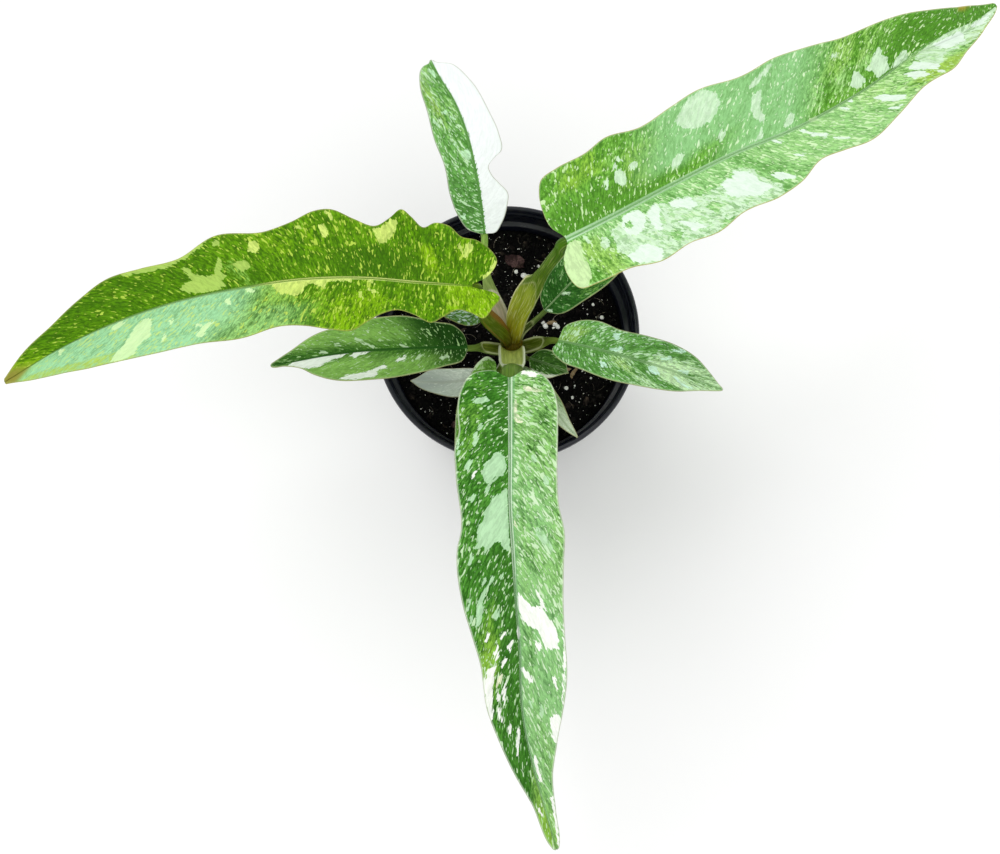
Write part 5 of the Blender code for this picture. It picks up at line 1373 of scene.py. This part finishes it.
def petiole_parts(leaf, order):
    """Rings of one petiole, from inside the stem to inside its blade's neck."""
    blade = Blade(leaf)
    look = {**STALK_PLAIN, **leaf.get("stalk", {})}
    _, heading, side, up = (row[0] for row in blade.frame(np.array([0.0])))
    joint = blade.curve[0] - up * blade.neck - heading * GAP
    neck = joint - heading * blade.neck * NECK
    path = smooth_curve(points_of(leaf["petiole"], 3) + [tuple(neck), tuple(joint)])
    path = np.vstack([path, joint + heading * NECK_REACH])
    reach = along(path)
    length = reach[-1]
    stations = np.linspace(0, length, max(12, int(length / STALK_ROW)))
    share = stations / length
    centres = sample(path, reach, stations)
    aheads = unit(sample(unit(np.gradient(path, reach, axis=0)), reach, stations))
    across = unit(np.cross(joint - (STEM_X, STEM_Y, joint[2]), (0.0, 0.0, 1.0)))
    stops, sizes, grooves = zip(*leaf["section"])

    def eased(values):
        """Values at the stations, with their corners rounded."""
        held = np.interp(share, stops, values)
        for _ in range(20):
            held[1:-1] = np.convolve(held, (0.25, 0.5, 0.25), "valid")
        return held

    end = look["end"] * length
    left_lip, right_lip = look["lips"]
    points, tints, lips, places = [], [], [], []
    for k, (station, size, groove) in enumerate(zip(stations, eased(sizes), eased(grooves))):
        turn = ease(share[k], 0.75, 1.0)
        flat = unit(across * (1 - turn) + side * turn)
        flat = unit(flat - aheads[k] * np.dot(flat, aheads[k]))
        top = np.cross(flat, aheads[k])
        ring, angle, face = stalk_ring(size, groove)
        x, y = ring.T
        # the sheath: wings to both sides, pale lips, and a low collar that closes it
        if end:
            opened = ease(station, *(part * length for part in SHEATH_OPENS))
            opened = opened * ease(end - station, -1, 4)
            past = station - end + look["point"] * x**2 / size
        else:
            opened = ease(share[k], 0.1, 0.3) * ease(0.9 - share[k], 0, 0.2)
            past = np.full(len(x), -9.0)
        wing = np.where(x < 0, *look["wings"]) * opened
        x = x + np.sign(x) * wing * ease(np.abs(x), 0.5 * size, size)
        collar = face * bell(past, 0.4 + 0.5 * left_lip)
        y = y + COLLAR_RISE * collar
        lip = np.zeros(len(x))
        for away, width in ((np.abs(angle - math.pi), left_lip),
                            (np.minimum(angle, np.abs(2 * math.pi - angle)), right_lip)):
            if width:
                gap = away * size * np.where(face, 1, BACK_STRETCH)
                lip = np.maximum(lip, 1 - ease(gap, 0.6 * width, 1.4 * width))
        lip = lip * (opened if end else 1 - ease(share[k], 0.4, 0.75))
        lip = np.maximum(lip, collar * look.get("mouth", min(1.0, left_lip * 1.5)))
        inside = face * (past < 0)
        tint = np.outer(inside, colour_along(look["inside"], share[k]))
        tint += np.outer(1 - inside, colour_along(look["outside"], share[k]))
        points.append(centres[k] + x[:, None] * flat + y[:, None] * top)
        tints.append(np.column_stack([tint, np.ones(len(x))]))
        lips.append(lip)
        apart = [order * shift for shift in STALK_SHIFT]
        places.append(np.column_stack([
            np.full(len(x), station + apart[0]), angle * size + apart[1],
            look["ridges"] * (0.3 + 0.7 * inside)]))
    lip_tint = np.tile(linear(look["lip"]), (len(stations) * len(x), 1))
    return [np.vstack(points), tube_faces(len(stations), len(x)), np.vstack(tints),
            np.concatenate(lips), np.vstack(places), lip_tint]


def tube_faces(rings, sides):
    """Quads between rings of points, and a cap at each end."""
    faces = [list(range(sides))[::-1], [(rings - 1) * sides + j for j in range(sides)]]
    for start in range(0, (rings - 1) * sides, sides):
        for j in range(sides):
            a, b = start + j, start + (j + 1) % sides
            faces.append([a, b, b + sides, a + sides])
    return faces


def stem_parts():
    """The short stem with its rings of old leaf scars."""
    heights = np.concatenate([[STEM_FOOT_Z], np.linspace(STEM_FOOT_Z + 1, STEM_TOP_Z, 60)])
    share = (heights - STEM_FOOT_Z) / (STEM_TOP_Z - STEM_FOOT_Z)
    radii = STEM_FOOT_RADIUS + (STEM_TOP_RADIUS - STEM_FOOT_RADIUS) * share
    for scar in STEM_SCARS:
        radii = radii + 0.4 * bell(heights - scar, 0.5)
    radii[-6:] *= np.sqrt(1 - np.linspace(0.05, 0.9, 6) ** 2)
    turn = np.linspace(0, 2 * math.pi, STEM_SIDES, endpoint=False)
    points = np.vstack([
        np.column_stack([STEM_X + r * np.cos(turn), STEM_Y + r * np.sin(turn),
                         np.full(STEM_SIDES, z)]) for r, z in zip(radii, heights)])
    count = len(points)
    tint = np.tile(linear(STEM_COLOUR), (count, 1))
    places = np.column_stack([points[:, 2], np.tile(turn * 5, len(heights)),
                              np.full(count, 0.15)])
    return [points, tube_faces(len(heights), STEM_SIDES), tint, np.zeros(count), places, tint]


def shard(size, seed, bend=0.0):
    """A small irregular chip: points and faces of a bent, rugged slab, in millimetres."""
    length, width, thick = size
    draw = random.Random(seed)
    steps, ways = 9, 5
    outline = [1 - 0.55 * abs(2 * i / (steps - 1) - 1) ** 2.5 for i in range(steps)]
    top, under = [], []
    for i in range(steps):
        for j in range(ways):
            x = (i / (steps - 1) - 0.5) * length + draw.uniform(-0.05, 0.05) * length
            y = (j / (ways - 1) - 0.5) * width * outline[i]
            y += draw.uniform(-0.06, 0.06) * width
            z = bend * (x / length * 2) ** 2 + draw.uniform(-0.2, 0.2) * thick
            top.append((x, y, z + thick / 2))
            under.append((x, y, z - thick / 2 + draw.uniform(-0.1, 0.1) * thick))
    return np.array(top + under), rim_faces(steps, ways)


def placed(points, place, turn, tilt=0.0):
    """Turn points about X then Z, in degrees, and move them."""
    spin = Matrix.Rotation(math.radians(turn), 3, "Z") @ Matrix.Rotation(math.radians(tilt), 3, "X")
    return points @ np.array(spin).T + np.array(place)


def soil_height(x, y):
    """The soil's relief: the solid's own low swell with lumps on it."""
    coarse = np.sin(x * 0.13 + 1.0) * np.cos(y * 0.11)
    swell = coarse + np.sin(x * 0.31 + y * 0.23) * 0.5
    return SOIL_TOP - 0.2 + 0.48 * swell + 0.55 * lumps(x, y, 5.5, 3, 5)


def ground_at(x, y):
    """Height of the soil at one place."""
    return float(soil_height(np.array([x]), np.array([y]))[0])


def perlite_lumps():
    """Points and faces of the perlite grains that the photograph shows one by one."""
    draw = random.Random(6)
    bm = bmesh.new()
    for x, y, size in PERLITE_SEEN:
        made = bmesh.ops.create_icosphere(bm, subdivisions=3, radius=size)
        push = [Vector([draw.uniform(-1, 1) for _ in range(3)]).normalized() for _ in range(7)]
        for vert in made["verts"]:
            way = vert.co.normalized()
            cut = sum(max(0.0, way.dot(p) - 0.55) for p in push)
            vert.co *= 1.12 - 0.5 * cut + draw.uniform(-0.03, 0.03)
            vert.co.z *= 0.8
            vert.co += Vector((x, y, ground_at(x, y) + size * 0.45))
    points = [tuple(v.co) for v in bm.verts]
    faces = [[v.index for v in f.verts] for f in bm.faces]
    bm.free()
    return points, faces


def lay(name, points, faces, mat, shade):
    """Put a loose piece of one even shade on the soil."""
    obj = solid(name, points, faces, mat)
    put_field(obj.data, "shade", np.full(len(points), shade))
    hand_over(obj, "soil")


class PLANT_PG_pot(bpy.types.PropertyGroup):
    """Sizes and colour of the pot."""

    # a bluish black, whose blue tint partly stands in for a painted reflection of the sky on the rim
    colour: bpy.props.FloatVectorProperty(
        name="Plastic", description="Colour of the pot's plastic", subtype="COLOR",
        size=3, min=0.0, max=1.0, default=(0.004, 0.0055, 0.012))
    lip_depth: bpy.props.FloatProperty(
        name="Lip depth", description="How far the rolled lip hangs down",
        default=3.4 * MM, min=1 * MM, max=8 * MM, subtype="DISTANCE", unit="LENGTH")
    slots: bpy.props.IntProperty(
        name="Drainage slots", description="Slots round the foot", default=SLOTS, min=3, max=12)


class PLANT_PG_soil(bpy.types.PropertyGroup):
    """How much lies on the soil."""

    crumbs: bpy.props.FloatProperty(
        name="Crumbs", description="Soil crumbs per square metre", default=420000.0, min=0.0)
    chips: bpy.props.FloatProperty(
        name="Bark chips", description="Bark chips per square metre", default=15000.0, min=0.0)
    perlite: bpy.props.FloatProperty(
        name="Perlite", description="Perlite grains per square metre", default=9000.0, min=0.0)
    grit: bpy.props.FloatProperty(
        name="Pale grit", description="Fine pale specks per square metre", default=130000.0,
        min=0.0)
    fibres: bpy.props.FloatProperty(
        name="Fibres", description="Fine fibres per square metre", default=12000.0, min=0.0)
    seed: bpy.props.IntProperty(
        name="Seed", description="Changes where the pieces fall", default=4, min=0)


class PLANT_PG_leaves(bpy.types.PropertyGroup):
    """Relief and markings of the leaves."""

    blade: bpy.props.FloatProperty(
        name="Blade", description="Thickness of a blade", default=0.5 * MM,
        min=0.2 * MM, max=0.9 * MM, subtype="DISTANCE", unit="LENGTH")
    vein_pitch: bpy.props.FloatProperty(
        name="Vein spacing", description="Distance between the main side veins",
        default=VEIN_PITCH * MM, min=2 * MM, max=20 * MM, subtype="DISTANCE", unit="LENGTH")
    vein_depth: bpy.props.FloatProperty(
        name="Vein depth", description="How deep the side veins are pressed in",
        default=0.3 * MM, min=0.0, max=1 * MM, subtype="DISTANCE", unit="LENGTH")
    fleck_amount: bpy.props.FloatProperty(
        name="Flecks", description="How thickly the leaves are flecked", default=1.0,
        min=0.0, max=2.0, subtype="FACTOR")


class PLANT_PG_stage(bpy.types.PropertyGroup):
    """Camera, light and floor."""

    lens: bpy.props.FloatProperty(
        name="Lens", description="Focal length of the camera in millimetres",
        default=CAMERA_LENS, min=20.0, max=200.0)
    tilt: bpy.props.FloatProperty(
        name="Tilt", description="How far the camera tilts from straight down",
        default=math.radians(CAMERA_TILT), subtype="ANGLE", unit="ROTATION")
    sky: bpy.props.FloatProperty(
        name="Sky", description="Strength of the even light from all round", default=0.7,
        min=0.0)
    key: bpy.props.FloatProperty(
        name="Key light", description="Strength of the light from the upper left", default=1.1,
        min=0.0)
    fill: bpy.props.FloatProperty(
        name="Fill light", description="Strength of the softer light from the front right",
        default=0.75, min=0.0)
    floor: bpy.props.FloatVectorProperty(
        name="Floor", description="Colour of the plain floor", subtype="COLOR", size=3,
        min=0.0, max=1.0, default=(0.93, 0.93, 0.93))


class PLANT_OT_stage(bpy.types.Operator):
    """Set the camera, the soft light and the plain floor"""

    bl_idname = "plant.stage"
    bl_label = "Stage"

    def execute(self, context):
        settings = context.scene.plant_stage
        scene = context.scene
        camera = add_object("camera", bpy.data.cameras.new("camera"))
        camera.location = Vector(CAMERA_PLACE) * MM
        camera.rotation_euler = (settings.tilt, 0, 0)
        camera.data.lens = settings.lens
        camera.data.sensor_width = 36.0
        camera.data.clip_start = 0.01
        camera.data.clip_end = 100.0
        scene.camera = camera
        scene.view_settings.view_transform = "Standard"
        scene.view_settings.look = "None"

        world = bpy.data.worlds.new("soft_sky")
        world.use_nodes = True
        sky = world.node_tree.nodes["Background"]
        sky.inputs["Color"].default_value = (1.0, 1.0, 1.0, 1.0)
        # the camera sees the sky as white as the floor, though it lights less
        graph = Graph(world.node_tree)
        seen = graph.call("ShaderNodeLightPath", output="Is Camera Ray")
        graph.feed(sky, "Strength", seen * (SEEN_SKY - settings.sky) + settings.sky)
        scene.world = world

        for name, strength, spread, source in (
                ("key_light", settings.key, 42, (-0.42, 0.42, 0.75)),
                ("fill_light", settings.fill, 60, (0.25, -0.45, 0.9))):
            light = bpy.data.lights.new(name, "SUN")
            light.energy = strength
            light.angle = math.radians(spread)
            lamp = add_object(name, light)
            lamp.location = source
            lamp.rotation_euler = (-Vector(source)).to_track_quat("-Z", "Y").to_euler()

        mesh = bpy.data.meshes.new("floor")
        corners = [(-FAR, -FAR, 0), (FAR, -FAR, 0), (FAR, FAR, 0), (-FAR, FAR, 0)]
        mesh.from_pydata(corners, [], [(0, 1, 2, 3)])
        mat, graph, shader = new_material("pale_floor", 0.9, 0.1)
        shade = graph.noise(graph.call("ShaderNodeTexCoord", output="Object"), 3.0)
        faint = graph.step(shade, 0.3, 0.7, 0.0, 0.02)
        paint = graph.blend(faint, (*settings.floor, 1.0), (0.8, 0.8, 0.8, 1.0))
        graph.feed(shader, "Base Color", paint)
        mesh.materials.append(mat)
        floor = add_object("floor", mesh)
        return {"FINISHED"}


class PLANT_OT_pot(bpy.types.Operator):
    """Turn the nursery pot with its rolled lip, collar and drainage slots"""

    bl_idname = "plant.pot"
    bl_label = "Pot"

    def execute(self, context):
        settings = context.scene.plant_pot
        lip = settings.lip_depth / MM
        foot = POT_HEIGHT - COLLAR_HEIGHT
        outer = [
            (0.0, FLOOR),
            (POT_BASE_RADIUS - WALL, FLOOR),
            (BODY_TOP_RADIUS - WALL, LEDGE_Z),
            *((COLLAR_INNER_RADIUS + out, POT_HEIGHT - down) for out, down in INSIDE),
            (POT_RIM_RADIUS - 0.9, POT_HEIGHT),
            (POT_RIM_RADIUS, POT_HEIGHT - 0.9),
            (POT_RIM_RADIUS, POT_HEIGHT - lip + 0.4),
            (POT_RIM_RADIUS - 0.7, POT_HEIGHT - lip),
            (COLLAR_RADIUS, POT_HEIGHT - lip),
            (COLLAR_RADIUS - 0.4, foot),
            (BODY_TOP_RADIUS, foot - 0.4),
            (BODY_TOP_RADIUS - 0.5, foot - 3.0),
            (POT_BASE_RADIUS, 2.5),
            (POT_BASE_RADIUS - 1.6, 0.0),
            (POT_BASE_RADIUS - 5.0, 0.0),
            (POT_BASE_RADIUS - 6.0, 1.0),
            (0.0, 1.0),
        ]
        mat = pot_material(settings.colour)
        raw = turned("pot_turned", rounded(outer, 0.55), POT_SIDES, mat)
        made = grow(raw, "nursery_pot", "drainage slots", {
            "Count": settings.slots, "Ring": (POT_BASE_RADIUS - SLOT_INSET) * MM,
            "Size": [size * MM for size in SLOT_SIZE], "Material": mat})
        bpy.data.objects.remove(raw, do_unlink=True)
        made.data.shade_smooth()
        made.data.set_sharp_from_angle(angle=math.radians(38))
        hand_over(made, "pot", "pot")
        return {"FINISHED"}


class PLANT_OT_soil(bpy.types.Operator):
    """Fill the pot with lumpy soil"""

    bl_idname = "plant.soil"
    bl_label = "Soil"

    def execute(self, context):
        foot = FLOOR + GAP
        side_top = SOIL_TOP - SOIL_SHOULDER
        reach = inner_radius(side_top) - GAP
        profile = [(0, foot), (inner_radius(foot) - GAP, foot), (reach, side_top)]
        profile += [(reach * (1 - k / SOIL_RINGS) - 0.1, SOIL_TOP) for k in range(SOIL_RINGS)]
        profile.append((0, SOIL_TOP))
        mat = earth_material("damp_soil", (5, 5, 5), (26, 23, 21), 0.5, 0.9, 900.0, 0.8)
        bed = turned("soil_bed", profile, SOIL_SIDES, mat)
        co = np.zeros(len(bed.data.vertices) * 3)
        bed.data.vertices.foreach_get("co", co)
        co = co.reshape(-1, 3)
        top = co[:, 2] > (SOIL_TOP - SOIL_SHOULDER / 2) * MM
        x, y = co[top, 0] / MM, co[top, 1] / MM
        edge = ease(reach - np.hypot(x, y), -0.5, 4.0)
        height = soil_height(x, y)
        co[top, 2] = (side_top + (height - side_top) * (0.3 + 0.7 * edge)) * MM
        bed.data.vertices.foreach_set("co", co.ravel())
        bed.data.update()
        put_field(bed.data, "shade", np.full(len(co), 0.5))
        hand_over(bed, "soil", "soil")
        return {"FINISHED"}


class PLANT_OT_litter(bpy.types.Operator):
    """Scatter crumbs, bark, perlite, grit and fibres over the soil"""

    bl_idname = "plant.litter"
    bl_label = "Soil litter"

    def execute(self, context):
        bed = bpy.data.objects.get("soil_bed")
        if bed is None:
            raise RuntimeError("make the soil before its litter")
        settings = context.scene.plant_soil
        mats = {name: earth_material(name, *look) for name, look in EARTHS.items()}
        reach = inner_radius(SOIL_TOP) - 2.0
        for count, (name, kind, low, high, form, rugged, tilt, mat) in enumerate(LITTER):
            made = grow(bed, name, "litter", {
                "Density": getattr(settings, kind), "Reach": reach * MM, "Smallest": low * MM,
                "Largest": high * MM, "Proportions": form, "Ruggedness": rugged * MM,
                "Tilt": tilt, "Seed": settings.seed + 10 * count, "Material": mats[mat]})
            if kind == "perlite":
                made.data.shade_smooth()
            hand_over(made, "soil")
        made = grow(bed, "soil_fibres", "fibres", {
            "Density": settings.fibres, "Reach": (reach - 2) * MM, "Length": 7 * MM,
            "Thickness": 0.08 * MM, "Seed": settings.seed + 3, "Material": mats["root_fibre"]})
        hand_over(made, "soil")
        lay("perlite_seen", *perlite_lumps(), mats["perlite"], 0.8)
        for count, (name, size, (x, y), turn, tilt, bend, mat) in enumerate(BITS):
            points, faces = shard(size, count + 20, bend)
            points = placed(points, (x, y, ground_at(x, y) + size[2] * 0.5 + 0.5), turn, tilt)
            lay(name, points, faces, mats[mat], 0.6)
        return {"FINISHED"}


class PLANT_OT_leaves(bpy.types.Operator):
    """Make the twelve leaf blades with their veins and markings"""

    bl_idname = "plant.leaves"
    bl_label = "Leaves"

    def execute(self, context):
        for order, (name, leaf) in enumerate(LEAVES.items()):
            make_blade(name, leaf, order, context.scene.plant_leaves)
        return {"FINISHED"}


class PLANT_OT_petioles(bpy.types.Operator):
    """Make the stem and the petioles with their open sheaths"""

    bl_idname = "plant.petioles"
    bl_label = "Stem and petioles"

    def execute(self, context):
        parts = [stem_parts()]
        parts += [petiole_parts(leaf, order) for order, leaf in enumerate(LEAVES.values())]
        faces = []
        start = 0
        for part in parts:
            faces += [[k + start for k in face] for face in part[1]]
            start += len(part[0])
        points, tint, lip, place, lip_tint = (
            np.concatenate([part[k] for part in parts]) for k in (0, 2, 3, 4, 5))
        obj = solid("stem_and_stalks", points, faces, stalk_material())
        for name, values in (("tint", tint), ("lip_tint", lip_tint), ("lip", lip),
                             ("stalk", place)):
            put_field(obj.data, name, values)
        hand_over(obj, "petiole", "stem_and_petioles")
        return {"FINISHED"}


class PLANT_PT_panel(bpy.types.Panel):
    """The plant's pieces, in building order"""

    bl_idname = "PLANT_PT_panel"
    bl_label = "Potted philodendron"
    bl_space_type = "VIEW_3D"
    bl_region_type = "UI"
    bl_category = "Plant"

    def draw(self, context):
        for group, _ in GROUPS:
            box = self.layout.box()
            settings = getattr(context.scene, group)
            for name in settings.bl_rna.properties.keys():
                if name not in ("rna_type", "name"):
                    box.prop(settings, name)
        for operator in OPERATORS:
            self.layout.operator(operator.bl_idname)


GROUPS = [("plant_stage", PLANT_PG_stage), ("plant_pot", PLANT_PG_pot),
          ("plant_soil", PLANT_PG_soil), ("plant_leaves", PLANT_PG_leaves)]
OPERATORS = [PLANT_OT_stage, PLANT_OT_pot, PLANT_OT_soil, PLANT_OT_litter, PLANT_OT_petioles,
             PLANT_OT_leaves]


def register():
    for name, group in GROUPS:
        bpy.utils.register_class(group)
        setattr(bpy.types.Scene, name, bpy.props.PointerProperty(type=group))
    for operator in OPERATORS:
        bpy.utils.register_class(operator)
    bpy.utils.register_class(PLANT_PT_panel)


def unregister():
    bpy.utils.unregister_class(PLANT_PT_panel)
    for operator in reversed(OPERATORS):
        bpy.utils.unregister_class(operator)
    for name, group in reversed(GROUPS):
        delattr(bpy.types.Scene, name)
        bpy.utils.unregister_class(group)


def main():
    register()
    leaf_group()
    wear_group()
    slot_tree()
    litter_tree()
    fibre_tree()
    bpy.ops.plant.stage()
    bpy.ops.plant.pot()
    bpy.ops.plant.soil()
    bpy.ops.plant.litter()
    bpy.ops.plant.petioles()
    bpy.ops.plant.leaves()


if __name__ == "__main__":
    main()
